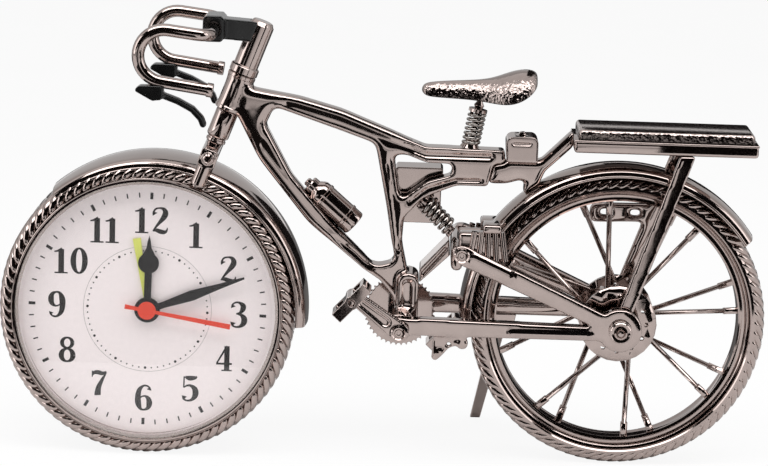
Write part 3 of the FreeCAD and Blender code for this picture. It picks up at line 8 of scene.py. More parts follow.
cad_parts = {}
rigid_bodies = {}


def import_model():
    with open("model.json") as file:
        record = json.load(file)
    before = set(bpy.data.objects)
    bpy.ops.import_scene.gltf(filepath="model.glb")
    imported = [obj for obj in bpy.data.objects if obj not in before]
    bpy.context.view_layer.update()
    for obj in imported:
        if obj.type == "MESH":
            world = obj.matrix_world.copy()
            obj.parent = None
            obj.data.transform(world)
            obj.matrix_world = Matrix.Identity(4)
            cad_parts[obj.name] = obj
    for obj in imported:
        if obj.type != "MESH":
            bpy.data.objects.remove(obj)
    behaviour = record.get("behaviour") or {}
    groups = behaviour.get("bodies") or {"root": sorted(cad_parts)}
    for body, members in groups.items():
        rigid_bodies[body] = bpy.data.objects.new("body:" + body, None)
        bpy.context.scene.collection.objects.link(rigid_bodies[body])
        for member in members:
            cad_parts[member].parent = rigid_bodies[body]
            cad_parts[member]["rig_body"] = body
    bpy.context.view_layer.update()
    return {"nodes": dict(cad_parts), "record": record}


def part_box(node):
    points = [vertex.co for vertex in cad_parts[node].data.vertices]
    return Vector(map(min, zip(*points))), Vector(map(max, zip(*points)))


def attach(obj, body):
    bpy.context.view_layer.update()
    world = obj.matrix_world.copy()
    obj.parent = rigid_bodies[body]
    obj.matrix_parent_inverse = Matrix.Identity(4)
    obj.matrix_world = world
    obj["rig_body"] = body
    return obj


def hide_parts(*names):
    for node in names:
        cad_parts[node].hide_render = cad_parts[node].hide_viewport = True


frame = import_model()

bl_info = {
    "name": "Bicycle table clock",
    "version": (1, 0, 0),
    "blender": (4, 5, 0),
    "location": "3D View > Sidebar > Clock",
    "description": "Dresses the packed bicycle clock with its plating, dial print, tread and small parts",
    "category": "Object",
}

MM = 0.001


def middle(node):
    """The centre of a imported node's box."""
    low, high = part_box(node)
    return (low + high) / 2


CLOCK_CENTRE = middle("front_tyre")
REAR_CENTRE = middle("rear_tyre")
DIAL_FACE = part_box("dial")[0].y
# Both wheels stand on the floor, so their axles are as high as their radius, here in millimetres
WHEEL_RADIUS = CLOCK_CENTRE.z / MM
# Out of the dial towards the viewer
OUTWARD = Vector((0, -1, 0))
# Up the steering column, which leans back from the front axle
LEAN = math.radians(20.5)
COLUMN = Vector((math.sin(LEAN), 0, math.cos(LEAN)))
FINISH = {}


def at(x, y, z):
    """A place in millimetres: along the clock, out from its middle plane, and up from the floor."""
    return Vector((x * MM, CLOCK_CENTRE.y + y * MM, z * MM))


class ClockCamera(bpy.types.PropertyGroup):
    azimuth: bpy.props.FloatProperty(
        name="Azimuth", description="Turn of the view about the upright", default=math.radians(0.514),
        subtype="ANGLE")
    elevation: bpy.props.FloatProperty(
        name="Elevation", description="Height of the view above the level", default=math.radians(11.491),
        subtype="ANGLE")
    roll: bpy.props.FloatProperty(
        name="Roll", description="Turn of the picture about its own middle", default=math.radians(1.822),
        subtype="ANGLE")
    distance: bpy.props.FloatProperty(
        name="Distance", description="From the lens to the middle of the clock", default=0.8, unit="LENGTH")
    focal: bpy.props.FloatProperty(
        name="Focal length", description="Of a lens on a 36 mm frame, in millimetres", default=131.7)
    aim: bpy.props.FloatVectorProperty(
        name="Aim", description="The point at the picture's middle", subtype="XYZ", unit="LENGTH",
        default=(-0.000477, CLOCK_CENTRE.y, 0.06436))


class ClockLight(bpy.types.PropertyGroup):
    overhead: bpy.props.FloatProperty(
        name="Overhead", description="Large soft box above, in watts", default=5.2, min=0)
    sides: bpy.props.FloatProperty(
        name="Sides", description="Soft boxes left and right, in watts", default=1.2, min=0)
    sky: bpy.props.FloatProperty(
        name="Sky", description="Even light from all round", default=0.45, min=0)
    card: bpy.props.FloatProperty(
        name="Back card", description="Glow of the grey card behind", default=0.6, min=0)
    flag_front: bpy.props.FloatProperty(
        name="Front flag", description="From the clock to the black flag beside the lens", default=0.42,
        unit="LENGTH")


class ClockFinish(bpy.types.PropertyGroup):
    plating: bpy.props.StringProperty(name="Plating", description="Black nickel", default="#aa9c97")
    dial: bpy.props.StringProperty(name="Dial", description="Printed card", default="#f8ecec")
    ink: bpy.props.StringProperty(name="Ink", description="Numbers and ticks", default="#231d1d")
    red: bpy.props.StringProperty(name="Second hand", description="Lacquer", default="#e2452f")
    lime: bpy.props.StringProperty(name="Alarm hand", description="Lacquer", default="#d9dd66")
    edge: bpy.props.FloatProperty(
        name="Edge round", description="Radius that the mould leaves on edges", default=0.16 * MM,
        unit="LENGTH")
    grain: bpy.props.FloatProperty(
        name="Skin", description="Mesh of the large cast mouldings", default=0.36 * MM, unit="LENGTH")
    fine_grain: bpy.props.FloatProperty(
        name="Fine skin", description="Mesh of the small cast mouldings", default=0.22 * MM, unit="LENGTH")


class ClockDial(bpy.types.PropertyGroup):
    number_ring: bpy.props.FloatProperty(
        name="Number ring", description="Radius of the ring that the numbers stand on", default=25.8 * MM,
        unit="LENGTH")
    number_height: bpy.props.FloatProperty(
        name="Number height", description="Height of a number", default=7.5 * MM, unit="LENGTH")
    tick_ring: bpy.props.FloatProperty(
        name="Tick ring", description="Outer end of the minute ticks", default=33.7 * MM, unit="LENGTH")
    dot_ring: bpy.props.FloatProperty(
        name="Dot ring", description="Radius of the inner ring of dots", default=17.0 * MM, unit="LENGTH")
    line_ring: bpy.props.FloatProperty(
        name="Line ring", description="Radius of the thin line outside the dots", default=18.2 * MM,
        unit="LENGTH")
    turn: bpy.props.FloatProperty(
        name="Turn", description="How far the dial sits turned in its case", default=math.radians(1.4),
        subtype="ANGLE")
    drop: bpy.props.FloatProperty(
        name="Drop", description="How far the print sits below the middle", default=0.1 * MM, unit="LENGTH")


class ClockTread(bpy.types.PropertyGroup):
    count: bpy.props.IntProperty(name="Strands", description="Strands round a tyre", default=84, min=12)
    slant: bpy.props.FloatProperty(
        name="Slant", description="Turn of a strand from the crown to the edge of the tyre",
        default=math.radians(6.5), subtype="ANGLE")


def linear(hexadecimal):
    """An sRGB hex colour as linear light with full alpha."""
    parts = [int(hexadecimal[i:i + 2], 16) / 255 for i in (1, 3, 5)]
    return [part / 12.92 if part <= 0.04045 else ((part + 0.055) / 1.055) ** 2.4 for part in parts] + [1.0]


def shade(colour, share):
    """A linear colour made lighter or darker."""
    return [channel * share for channel in colour[:3]] + [1.0]


def add(tree, kind, sockets=None, stops=(), **settings):
    """Adds a shader node and sets it up. A socket given another node's output is linked to it, and a colour
    ramp takes two stops of (place, linear colour)."""
    made = tree.nodes.new(kind)
    for name, value in settings.items():
        setattr(made, name, value)
    for name, value in (sockets or {}).items():
        if isinstance(value, bpy.types.NodeSocket):
            tree.links.new(value, made.inputs[name])
        else:
            made.inputs[name].default_value = value
    for index, (place, colour) in enumerate(stops):
        made.color_ramp.elements[index].position = place
        made.color_ramp.elements[index].color = colour
    return made


def blank(name):
    """A new material with an empty tree. Gives the material, its tree and its object coordinates."""
    material = bpy.data.materials.new(name)
    material.use_nodes = True
    tree = material.node_tree
    tree.nodes.clear()
    place = add(tree, "ShaderNodeTexCoord")
    return material, tree, place.outputs["Object"]


def surfaced(material, shader):
    """The material with a shader as its surface."""
    add(material.node_tree, "ShaderNodeOutputMaterial", {"Surface": shader.outputs[0]})
    return material


def any_ray(tree, *kinds):
    """A factor that is 1 for light paths of any of the kinds, such as Is Camera Ray, and 0 for the rest."""
    path = add(tree, "ShaderNodeLightPath")
    found = path.outputs[kinds[0]]
    for kind in kinds[1:]:
        either = add(tree, "ShaderNodeMath", {0: found, 1: path.outputs[kind]}, operation="MAXIMUM")
        found = either.outputs[0]
    return found


def grained(name, grain, detail, relief, tones, sockets):
    """A finish whose tone and bump follow one noise as wide as its grain. Relief is the bump's strength and
    depth, and sockets are values on the shader itself."""
    material, tree, place = blank(name)
    noise = add(tree, "ShaderNodeTexNoise", {"Vector": place, "Scale": 1 / grain, "Detail": detail})
    bump = add(tree, "ShaderNodeBump", {
        "Height": noise.outputs["Fac"], "Strength": relief[0], "Distance": relief[1]})
    tone = add(tree, "ShaderNodeValToRGB", {"Fac": noise.outputs["Fac"]}, [(0.3, tones[0]), (0.7, tones[1])])
    return surfaced(material, add(tree, "ShaderNodeBsdfPrincipled", {
        "Base Color": tone.outputs["Color"], "Normal": bump.outputs["Normal"], **sockets}))


def black_nickel(colour):
    """Black nickel plated on moulded ABS: a warm grey mirror, slightly wavy from the moulding under it."""
    material, tree, place = blank("Black nickel on moulded ABS")
    waves = add(tree, "ShaderNodeTexNoise", {"Vector": place, "Scale": 1 / (7 * MM), "Detail": 2.0})
    haze = add(tree, "ShaderNodeTexNoise", {"Vector": place, "Scale": 1 / (4 * MM), "Detail": 4.0})
    bump = add(tree, "ShaderNodeBump", {
        "Height": waves.outputs["Fac"], "Strength": 0.1, "Distance": 0.2 * MM})
    roughness = add(tree, "ShaderNodeMapRange", {
        "Value": haze.outputs["Fac"], "From Min": 0.3, "From Max": 0.75, "To Min": 0.036, "To Max": 0.108})
    tone = add(tree, "ShaderNodeValToRGB", {"Fac": haze.outputs["Fac"]},
               [(0.25, shade(colour, 0.92)), (0.75, shade(colour, 1.05))])
    return surfaced(material, add(tree, "ShaderNodeBsdfPrincipled", {
        "Base Color": tone.outputs["Color"], "Metallic": 1.0, "Roughness": roughness.outputs["Result"],
        "Normal": bump.outputs["Normal"]}))


def hammered_pad(colour):
    """Plated ABS moulded with a leather grain down its sides, which breaks every reflection up. Its top is
    smooth and painted a little lighter as painted highlight, and its underside is painted nearly black as
    painted shade."""
    material, tree, place = blank("Leather-grain plated ABS with painted shade")
    cells = add(tree, "ShaderNodeTexVoronoi", {
        "Vector": place, "Scale": 1 / (0.95 * MM), "Randomness": 1.0}, feature="SMOOTH_F1")
    crumple = add(tree, "ShaderNodeTexNoise", {"Vector": place, "Scale": 1 / (0.7 * MM), "Detail": 2.0})
    height = add(tree, "ShaderNodeMath", {
        0: crumple.outputs["Fac"], 1: cells.outputs["Distance"]}, operation="SUBTRACT")
    facing = add(tree, "ShaderNodeTexCoord")
    upright = add(tree, "ShaderNodeSeparateXYZ", {"Vector": facing.outputs["Normal"]})
    side = add(tree, "ShaderNodeMapRange", {
        "Value": upright.outputs["Z"], "From Min": 0.7, "From Max": 0.93, "To Min": 1.0, "To Max": 0.05})
    # painted shade: a mask of the faces that look down, which are painted nearly black
    under = add(tree, "ShaderNodeMapRange", {
        "Value": upright.outputs["Z"], "From Min": -0.15, "From Max": 0.3, "To Min": 1.0, "To Max": 0.0})
    bump = add(tree, "ShaderNodeBump", {
        "Height": height.outputs[0], "Strength": side.outputs["Result"], "Distance": 0.2 * MM})
    # painted shade and highlight: the grain's crevices are painted darker and its cell middles lighter
    crease_shade = add(tree, "ShaderNodeValToRGB", {"Fac": cells.outputs["Distance"]},
                 [(0.35, shade(colour, 1.15)), (0.9, shade(colour, 0.85))])
    # painted highlight: the smooth top is painted a tenth lighter than the plating
    tone = add(tree, "ShaderNodeMix", {
        "Factor": side.outputs["Result"], "A": shade(colour, 1.1), "B": crease_shade.outputs["Color"]},
        data_type="RGBA")
    # painted shade: the underside is mixed towards near black
    tone = add(tree, "ShaderNodeMix", {
        "Factor": under.outputs["Result"], "A": tone.outputs["Result"], "B": shade(colour, 0.12)},
        data_type="RGBA")
    return surfaced(material, add(tree, "ShaderNodeBsdfPrincipled", {
        "Base Color": tone.outputs["Result"], "Metallic": 1.0, "Roughness": 0.1,
        "Normal": bump.outputs["Normal"]}))


def gloss_black():
    """Polished black ABS: deep colour with a clear, sharp highlight."""
    return grained("Polished black ABS", 6 * MM, 2, (0.1, 0.2 * MM),
                   (linear("#0b0b0b"), linear("#161616")), {"Roughness": 0.13, "IOR": 1.54})


def spark_eroded_black():
    """Black ABS from a spark-eroded mould: an even fine grain that kills the gloss."""
    return grained("Spark-eroded black ABS", 0.35 * MM, 3, (0.45, 0.05 * MM),
                   (linear("#141414"), linear("#232323")), {"Roughness": 0.5, "IOR": 1.53})


def printed_card(colour):
    """Coated dial card: matt, faintly mottled by the paper under the coat."""
    return grained("Coated dial card", 1.2 * MM, 5, (0.06, 0.05 * MM),
                   (shade(colour, 0.97), shade(colour, 1.02)), {"Roughness": 0.6, "IOR": 1.5})


def lacquer(name, colour, rough=0.38, shine=0.5):
    """Lacquer or ink on a flat part: plain colour with a soft sheen and a little flow unevenness."""
    return grained(name, 1.5 * MM, 2, (0.08, 0.05 * MM), (shade(colour, 0.95), shade(colour, 1.04)),
                   {"Roughness": rough, "IOR": 1.5, "Specular IOR Level": shine})


def drawn_wire():
    """Plated spring wire: bright, with the fine unevenness that drawing leaves."""
    return grained("Plated spring wire", 0.5 * MM, 3, (0.1, 0.03 * MM),
                   (linear("#8f8985"), linear("#aca6a1")), {"Metallic": 1.0, "Roughness": 0.16})


def plain_metal(name, dark, light, rough, grain):
    """A bare metal with a fine rolled or wound grain, given by its two tones."""
    return grained(name, grain, 3, (0.15, 0.04 * MM), (linear(dark), linear(light)),
                   {"Metallic": 1.0, "Roughness": rough})


def clear_acrylic():
    """Clear moulded acrylic: no colour, a sharp reflection and a bright bevelled rim. Light passes it
    freely, so that the dial under it stays as bright as it is in the open."""
    material, tree, place = blank("Clear acrylic")
    wave = add(tree, "ShaderNodeTexNoise", {"Vector": place, "Scale": 1 / (25 * MM), "Detail": 1.0})
    bump = add(tree, "ShaderNodeBump", {
        "Height": wave.outputs["Fac"], "Strength": 0.02, "Distance": 0.1 * MM})
    glass = add(tree, "ShaderNodeBsdfPrincipled", {
        "Base Color": linear("#fbfcfc"), "Roughness": 0.01, "IOR": 1.49, "Transmission Weight": 1.0,
        "Specular IOR Level": 0.15, "Normal": bump.outputs["Normal"]})
    clear = add(tree, "ShaderNodeBsdfTransparent", {"Color": (0.97, 0.97, 0.97, 1)})
    through = any_ray(tree, "Is Shadow Ray", "Is Diffuse Ray")
    return surfaced(material, add(tree, "ShaderNodeMixShader", {
        0: through, 1: glass.outputs[0], 2: clear.outputs[0]}))


def in_scene(name, data):
    """A new object in the scene, of a mesh, curve, lamp or camera."""
    made = bpy.data.objects.new(name, data)
    bpy.context.scene.collection.objects.link(made)
    return made


def taken_from(helper):
    """The final shape of a helper object as a mesh. The helper goes."""
    bpy.context.view_layer.update()
    mesh = bpy.data.meshes.new_from_object(helper.evaluated_get(bpy.context.evaluated_depsgraph_get()))
    bpy.data.objects.remove(helper)
    return mesh


def bmesh_of(mesh):
    """A bmesh with a copy of a mesh in it."""
    bm = bmesh.new()
    bm.from_mesh(mesh)
    return bm


def merged(node):
    """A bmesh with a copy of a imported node's mesh, its loose triangles joined."""
    bm = bmesh_of(frame["nodes"][node].data)
    bmesh.ops.remove_doubles(bm, verts=bm.verts, dist=0.001 * MM)
    return bm


def as_mesh(bm, name):
    """A bmesh turned into a mesh. The bmesh goes."""
    mesh = bpy.data.meshes.new(name)
    bm.to_mesh(mesh)
    bm.free()
    return mesh


def shaded(mesh, smooth):
    """The mesh, shaded smooth over edges that turn less than an angle in degrees."""
    mesh.polygons.foreach_set("use_smooth", [True] * len(mesh.polygons))
    mesh.set_sharp_from_angle(angle=math.radians(smooth))
    return mesh


def closed_mesh(bm, name, smooth=40):
    """A bmesh as a mesh with its seams closed and its faces outwards."""
    bmesh.ops.remove_doubles(bm, verts=bm.verts, dist=0.002 * MM)
    bmesh.ops.recalc_face_normals(bm, faces=bm.faces)
    return shaded(as_mesh(bm, name), smooth)


def in_metres(*pairs):
    """Pairs of numbers that are given in millimetres."""
    return [(first * MM, second * MM) for first, second in pairs]


def turned(bm, profile, centre, steps, start=0.0, sweep=2 * math.pi, closed=True):
    """Spins (radius, y) points about a wheel's axis through centre. A closed profile's ends are joined."""
    verts = [bm.verts.new(centre + Vector((radius * math.cos(start), y, radius * math.sin(start))))
             for radius, y in profile]
    following = verts[1:] + verts[:1] if closed else verts[1:]
    edges = [bm.edges.new(pair) for pair in zip(verts, following)]
    whole = sweep >= 2 * math.pi
    made = bmesh.ops.spin(bm, geom=verts + edges, cent=centre, axis=OUTWARD, angle=sweep, steps=steps,
                          use_merge=whole)
    if closed and not whole:
        ends = [edge for edge in made["geom_last"] if isinstance(edge, bmesh.types.BMEdge)]
        bmesh.ops.holes_fill(bm, edges=edges + ends, sides=0)


def lathe_into(bm, start, along, profile, steps):
    """Turns (distance, radius) points about a line from start. A radius of 0 closes the end."""
    aside = along.orthogonal().normalized()
    verts = [bm.verts.new(start + along * distance + aside * radius) for distance, radius in profile]
    edges = [bm.edges.new(pair) for pair in zip(verts, verts[1:])]
    bmesh.ops.spin(bm, geom=verts + edges, cent=start, axis=along, angle=2 * math.pi, steps=steps,
                   use_merge=True)


def lathed(start, along, profile, steps):
    """A new bmesh turned on its own from (distance, radius) points in millimetres."""
    bm = bmesh.new()
    lathe_into(bm, start, along, in_metres(*profile), steps)
    return bm


def rounded_block(bm, low, high, edge, segments):
    """Adds a box from corner to corner, its edges rounded."""
    size = Matrix.Diagonal((*(high - low), 1))
    verts = bmesh.ops.create_cube(bm, size=1, matrix=Matrix.Translation((low + high) / 2) @ size)["verts"]
    edges = list(dict.fromkeys(rim for vert in verts for rim in vert.link_edges))
    bmesh.ops.bevel(bm, geom=edges, offset=edge, segments=segments, profile=0.5, affect="EDGES", material=-1)


def strands(paths, rings):
    """Round strands along lists of (point, radius), as one mesh. More rings make them rounder."""
    curve = bpy.data.curves.new("strand", "CURVE")
    curve.dimensions = "3D"
    curve.bevel_depth = 1.0
    curve.bevel_resolution = rings
    curve.use_fill_caps = True
    for path in paths:
        spline = curve.splines.new("POLY")
        spline.points.add(len(path) - 1)
        for point, (place, radius) in zip(spline.points, path):
            point.co = (*place, 1)
            point.radius = radius
    return taken_from(in_scene("strand", curve))


def slot_of(node):
    """The record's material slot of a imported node."""
    return next(part["material_slot"] for part in frame["record"]["subparts"] if part["node"] == node)


def collect(name, mesh, body, material):
    """Makes an object of a finished mesh that rides on a body and takes its finish from a record slot."""
    piece = in_scene(name, mesh)
    mesh.materials.clear()
    mesh.materials.append(material)
    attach(piece, body)
    return piece


def dressed(mesh, name, like):
    """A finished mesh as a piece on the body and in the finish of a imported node."""
    material_slot = slot_of(like)
    return collect(name, mesh, frame["nodes"][like]["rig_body"], FINISH[material_slot])


def trim(bm, name, like, smooth=40):
    """A finished bmesh as a small piece more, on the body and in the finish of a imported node."""
    return dressed(closed_mesh(bm, name, smooth), name, like)


def stand_for(bm, name, node, smooth=40):
    """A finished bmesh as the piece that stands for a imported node."""
    piece = trim(bm, name, node, smooth)
    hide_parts(node)
    return piece


def bevelled(piece, width, degrees):
    """Puts a live bevel on the sharp edges of a piece."""
    bevel = piece.modifiers.new("edge", "BEVEL")
    bevel.width = width
    bevel.segments = 2
    bevel.limit_method = "ANGLE"
    bevel.angle_limit = math.radians(degrees)
    bevel.use_clamp_overlap = True


def soften(node, edge):
    """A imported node's shape with the small round that a mould leaves on its edges."""
    smooth = 38
    bm = merged(node)
    bmesh.ops.dissolve_limit(bm, angle_limit=math.radians(0.6), verts=bm.verts, edges=bm.edges)
    name = "moulded_" + node
    piece = dressed(shaded(as_mesh(bm, name), smooth), name, node)
    bevelled(piece, edge, smooth)
    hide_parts(node)


def everywhere(place, share):
    """All of a moulding is its soft part."""
    return True


def front_tubes(place, share):
    """The slim tubes before the seat tube. Their border moves as share goes from 0 to 1, so that what is
    done to them fades out."""
    return place.x < (7 - 6 * share) * MM and place.z > (60 + 4 * share) * MM


def moulded(node, grain, passes, more=0, soft_part=everywhere):
    """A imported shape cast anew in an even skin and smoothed. Its soft part is smoothed more, and gets back
    the girth that this takes."""
    helper = in_scene("cast", as_mesh(merged(node), "cast"))
    skin = helper.modifiers.new("skin", "REMESH")
    skin.mode = "VOXEL"
    skin.voxel_size = grain
    bm = bmesh_of(taken_from(helper))
    for turn in range(passes + more):
        verts = bm.verts[:]
        if turn >= passes:
            verts = [vert for vert in verts if soft_part(vert.co, (turn - passes) / more)]
        bmesh.ops.smooth_vert(bm, verts=verts, factor=0.5, use_axis_x=True, use_axis_y=True, use_axis_z=True)
    piece = stand_for(bm, "moulded_" + node, node, 70)
    if more:
        grades = 12
        bars = piece.vertex_groups.new(name="bars")
        for share in [step / grades for step in range(grades + 1)]:
            inside = [vert.index for vert in piece.data.vertices if soft_part(vert.co, share)]
            bars.add(inside, share, "REPLACE")
        girth = piece.modifiers.new("girth", "DISPLACE")
        girth.vertex_group = "bars"
        girth.mid_level = 0
        girth.strength = 0.3 * MM


class CLOCK_OT_camera(bpy.types.Operator):
    """Stands the camera where the photograph was taken"""
    bl_idname = "clock.camera"
    bl_label = "Camera"

    def execute(self, context):
        view = context.scene.clock_camera
        right = Vector((math.cos(view.azimuth), math.sin(view.azimuth), 0))
        back = Vector((math.sin(view.azimuth) * math.cos(view.elevation),
                       -math.cos(view.azimuth) * math.cos(view.elevation), math.sin(view.elevation)))
        up = back.cross(right)
        level = right * math.cos(view.roll) + up * math.sin(view.roll)
        upright = up * math.cos(view.roll) - right * math.sin(view.roll)
        data = bpy.data.cameras.new("camera")
        data.lens = view.focal
        data.sensor_width = 36
        data.clip_start = 0.05
        camera = in_scene("camera", data)
        turn = Matrix((level, upright, back)).transposed().to_4x4()
        camera.matrix_world = Matrix.Translation(Vector(view.aim) + back * view.distance) @ turn
        context.scene.camera = camera
        return {"FINISHED"}


class CLOCK_OT_stage(bpy.types.Operator):
    """Sets the pale floor, the lamps and the black flags that give the plating its dark streaks"""
    bl_idname = "clock.stage"
    bl_label = "Stage"

    def lamp(self, name, place, size, power, aim):
        """A soft box that looks at a point."""
        data = bpy.data.lights.new(name, "AREA")
        data.shape = "RECTANGLE"
        data.size, data.size_y = size
        data.energy = power
        lamp = in_scene(name, data)
        lamp.location = place
        lamp.rotation_euler = (Vector(aim) - Vector(place)).to_track_quat("-Z", "Y").to_euler()

    def sky(self, strength):
        """Even light from all round, which the camera, metal and glass see as plain white."""
        world = bpy.data.worlds.new("studio")
        bpy.context.scene.world = world
        world.use_nodes = True
        tree = world.node_tree
        tree.nodes.clear()
        sky = add(tree, "ShaderNodeBackground", {"Color": (1, 1, 1, 1), "Strength": strength})
        white = add(tree, "ShaderNodeBackground", {"Color": (1, 1, 1, 1), "Strength": 1.0})
        seen = any_ray(tree, "Is Camera Ray", "Is Transmission Ray", "Is Glossy Ray")
        final = add(tree, "ShaderNodeMixShader", {0: seen, 1: sky.outputs[0], 2: white.outputs[0]})
        add(tree, "ShaderNodeOutputWorld", {"Surface": final.outputs[0]})

    def floor(self):
        """A white paper sweep that keeps the shadow. Nine tenths of what the camera sees of it is plain
        white, and the plating sees the paper itself."""
        bm = bmesh.new()
        bmesh.ops.create_grid(bm, x_segments=1, y_segments=1, size=1.6)
        floor = in_scene("floor", closed_mesh(bm, "floor"))
        material, tree, place = blank("White paper sweep")
        fibre = add(tree, "ShaderNodeTexNoise", {"Vector": place, "Scale": 1 / (60 * MM)})
        tone = add(tree, "ShaderNodeValToRGB", {"Fac": fibre.outputs["Fac"]},
                   [(0.3, linear("#f4f4f4")), (0.7, linear("#fafafa"))])
        paper = add(tree, "ShaderNodeBsdfDiffuse", {"Color": tone.outputs["Color"]})
        glow = add(tree, "ShaderNodeEmission", {"Color": (1, 1, 1, 1), "Strength": 1.0})
        clear = add(tree, "ShaderNodeMixShader", {0: 0.9, 1: paper.outputs[0], 2: glow.outputs[0]})
        seen = any_ray(tree, "Is Camera Ray", "Is Transmission Ray")
        mixed = add(tree, "ShaderNodeMixShader", {0: seen, 1: paper.outputs[0], 2: clear.outputs[0]})
        floor.data.materials.append(surfaced(material, mixed))

    def flag(self, name, foot, rise, sweep, glow):
        """A black flag, or a card where it glows, seen only by the plating. A line from its foot is turned
        round the clock by a number, or carried straight across by a vector."""
        bm = bmesh.new()
        verts = [bm.verts.new(foot), bm.verts.new(Vector(foot) + Vector(rise))]
        upright = bm.edges.new(verts)
        if isinstance(sweep, float):
            bmesh.ops.spin(bm, geom=verts + [upright], cent=(0, 0, 0), axis=(0, 0, 1), angle=sweep, steps=24)
        else:
            made = bmesh.ops.extrude_edge_only(bm, edges=[upright])["geom"]
            ends = [part for part in made if isinstance(part, bmesh.types.BMVert)]
            bmesh.ops.translate(bm, vec=sweep, verts=ends)
        flag = in_scene(name, as_mesh(bm, name))
        material, tree, place = blank("Grey card" if glow else "Black felt")
        if glow:
            surface = add(tree, "ShaderNodeEmission", {"Color": (1, 1, 1, 1), "Strength": glow})
        else:
            nap = add(tree, "ShaderNodeTexNoise", {"Vector": place, "Scale": 1 / (3 * MM)})
            tone = add(tree, "ShaderNodeValToRGB", {"Fac": nap.outputs["Fac"]},
                       [(0.3, linear("#161414")), (0.7, linear("#221f1f"))])
            surface = add(tree, "ShaderNodeBsdfDiffuse", {"Color": tone.outputs["Color"]})
        flag.data.materials.append(surfaced(material, surface))
        flag.visible_camera = False
        flag.visible_diffuse = False
        flag.visible_shadow = False
        flag.visible_transmission = False

    def execute(self, context):
        light = context.scene.clock_light
        context.scene.view_settings.view_transform = "Standard"
        self.sky(light.sky)
        self.lamp("overhead", (0, -0.27, 0.75), (1.2, 0.32), light.overhead, (0, -0.05, 0.05))
        self.lamp("left", (-0.8, -0.3, 0.3), (0.3, 0.5), light.sides, (0, 0, 0.05))
        self.lamp("right", (0.8, -0.3, 0.35), (0.3, 0.5), light.sides, (0, 0, 0.05))
        self.floor()
        standing = (
            ("flag_left", (-0.24, -light.flag_front, 0.0), 0.3, (0.16, 0, 0), 0),
            ("flag_right", (0.09, -0.22, 0.0), 0.16, (0.32, 0, 0), 0),
            ("flag_lens", (-1.0, -0.25, 0.13), 1.3, math.radians(152), 0),
            ("card_back", (0.85, 0.25, 0.07), 0.85, math.radians(148), light.card))
        for name, foot, height, sweep, glow in standing:
            self.flag(name, foot, (0, 0, height), sweep, glow)
        # these lie just over the floor, where the near faces of the tubes and the rack look
        self.flag("flag_floor", (-0.28, -0.62, 0.001), (0, 0.5, 0), (0.27, 0, 0), 0)
        self.flag("flag_rack", (0.115, -0.58, 0.001), (0, 0.18, 0), (0.14, 0, 0), 0)
        # these stand behind the frame, for the tops of its tubes, with a gap for the top of the saddle
        self.flag("flag_back_low", (0.045, 0.3, 0.0), (0, 0, 0.148), (0.15, 0, 0), 0)
        self.flag("flag_back_high", (0.062, 0.3, 0.172), (0, 0, 0.5), (0.13, 0, 0), 0)
        # a dim card on the floor behind keeps the rims of the mudguards off the white
        self.flag("card_floor", (-0.7, 0.12, 0.001), (0, 0.9, 0), (1.4, 0, 0), 0.16)
        return {"FINISHED"}


class CLOCK_OT_finishes(bpy.types.Operator):
    """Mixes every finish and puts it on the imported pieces"""
    bl_idname = "clock.finishes"
    bl_label = "Finishes"

    def execute(self, context):
        colours = context.scene.clock_finish
        plating = linear(colours.plating)
        FINISH.update({
            "black_nickel": black_nickel(plating),
            "black_gloss": gloss_black(),
            "spring_steel": drawn_wire(),
            "clear_lens": clear_acrylic(),
            "dial_card": printed_card(linear(colours.dial)),
            "black_case": spark_eroded_black(),
            "white_switch": lacquer("Moulded white ABS", linear("#dcdad4"), 0.45),
            "textured_pad": hammered_pad(plating),
            "cell_sleeve": lacquer("Printed cell sleeve", linear("#33363b"), 0.3),
            "board_green": lacquer("Solder-masked board", linear("#1f5a35"), 0.35),
            "copper_wire": plain_metal("Enamelled copper winding", "#8a4a22", "#b8693a", 0.3, 0.4 * MM),
            "brass_disc": plain_metal("Rolled brass", "#a88a45", "#c8aa62", 0.28, 0.8 * MM),
            "hand_black": lacquer("Black stove lacquer", linear("#1b1718"), 0.45, 0.15),
            "hand_red": lacquer("Red stove lacquer", linear(colours.red), 0.4, 0.2),
            "hand_yellow": lacquer("Lime stove lacquer", linear(colours.lime)),
            "ink": lacquer("Printing ink", linear(colours.ink), 0.5, 0.15),
            "fine_ink": lacquer("Thin printing ink", linear("#8d8683"), 0.5),
            # painted shade: the saddle takes a copy of the pad's plating, painted 0.78 as dark
            "saddle_shaded_plating": hammered_pad(shade(plating, 0.78)),
        })
        for part in frame["record"]["subparts"]:
            data = frame["nodes"][part["node"]].data
            data.materials.clear()
            data.materials.append(FINISH[part["material_slot"]])
        return {"FINISHED"}


class CLOCK_OT_mouldings(bpy.types.Operator):
    """Gives the plated and moulded pieces the soft edges of their moulds"""
    bl_idname = "clock.mouldings"
    bl_label = "Mouldings"

    def execute(self, context):
        colours = context.scene.clock_finish
        moulded("main_frame", colours.grain, 8, 44, front_tubes)
        for node in ("near_stay", "near_rack_stay"):
            moulded(node, colours.grain, 9)
        for node in ("far_stay", "rack_arm", "far_rack_stay"):
            moulded(node, colours.grain, 9, 20)
        for node in ("frame_box", "tool_box", "rocker_link", "stem_clamp", "near_lever",
                     "far_lever", "fork_crown", "near_crank", "far_crank", "kickstand"):
            moulded(node, colours.fine_grain, 3)
        for node in ("rear_axle", "chainring", "seat_post", "shock_rod", "back_cover", "battery_cover",
                     "near_pedal", "far_pedal", "stand_bracket"):
            soften(node, colours.edge)
        return {"FINISHED"}


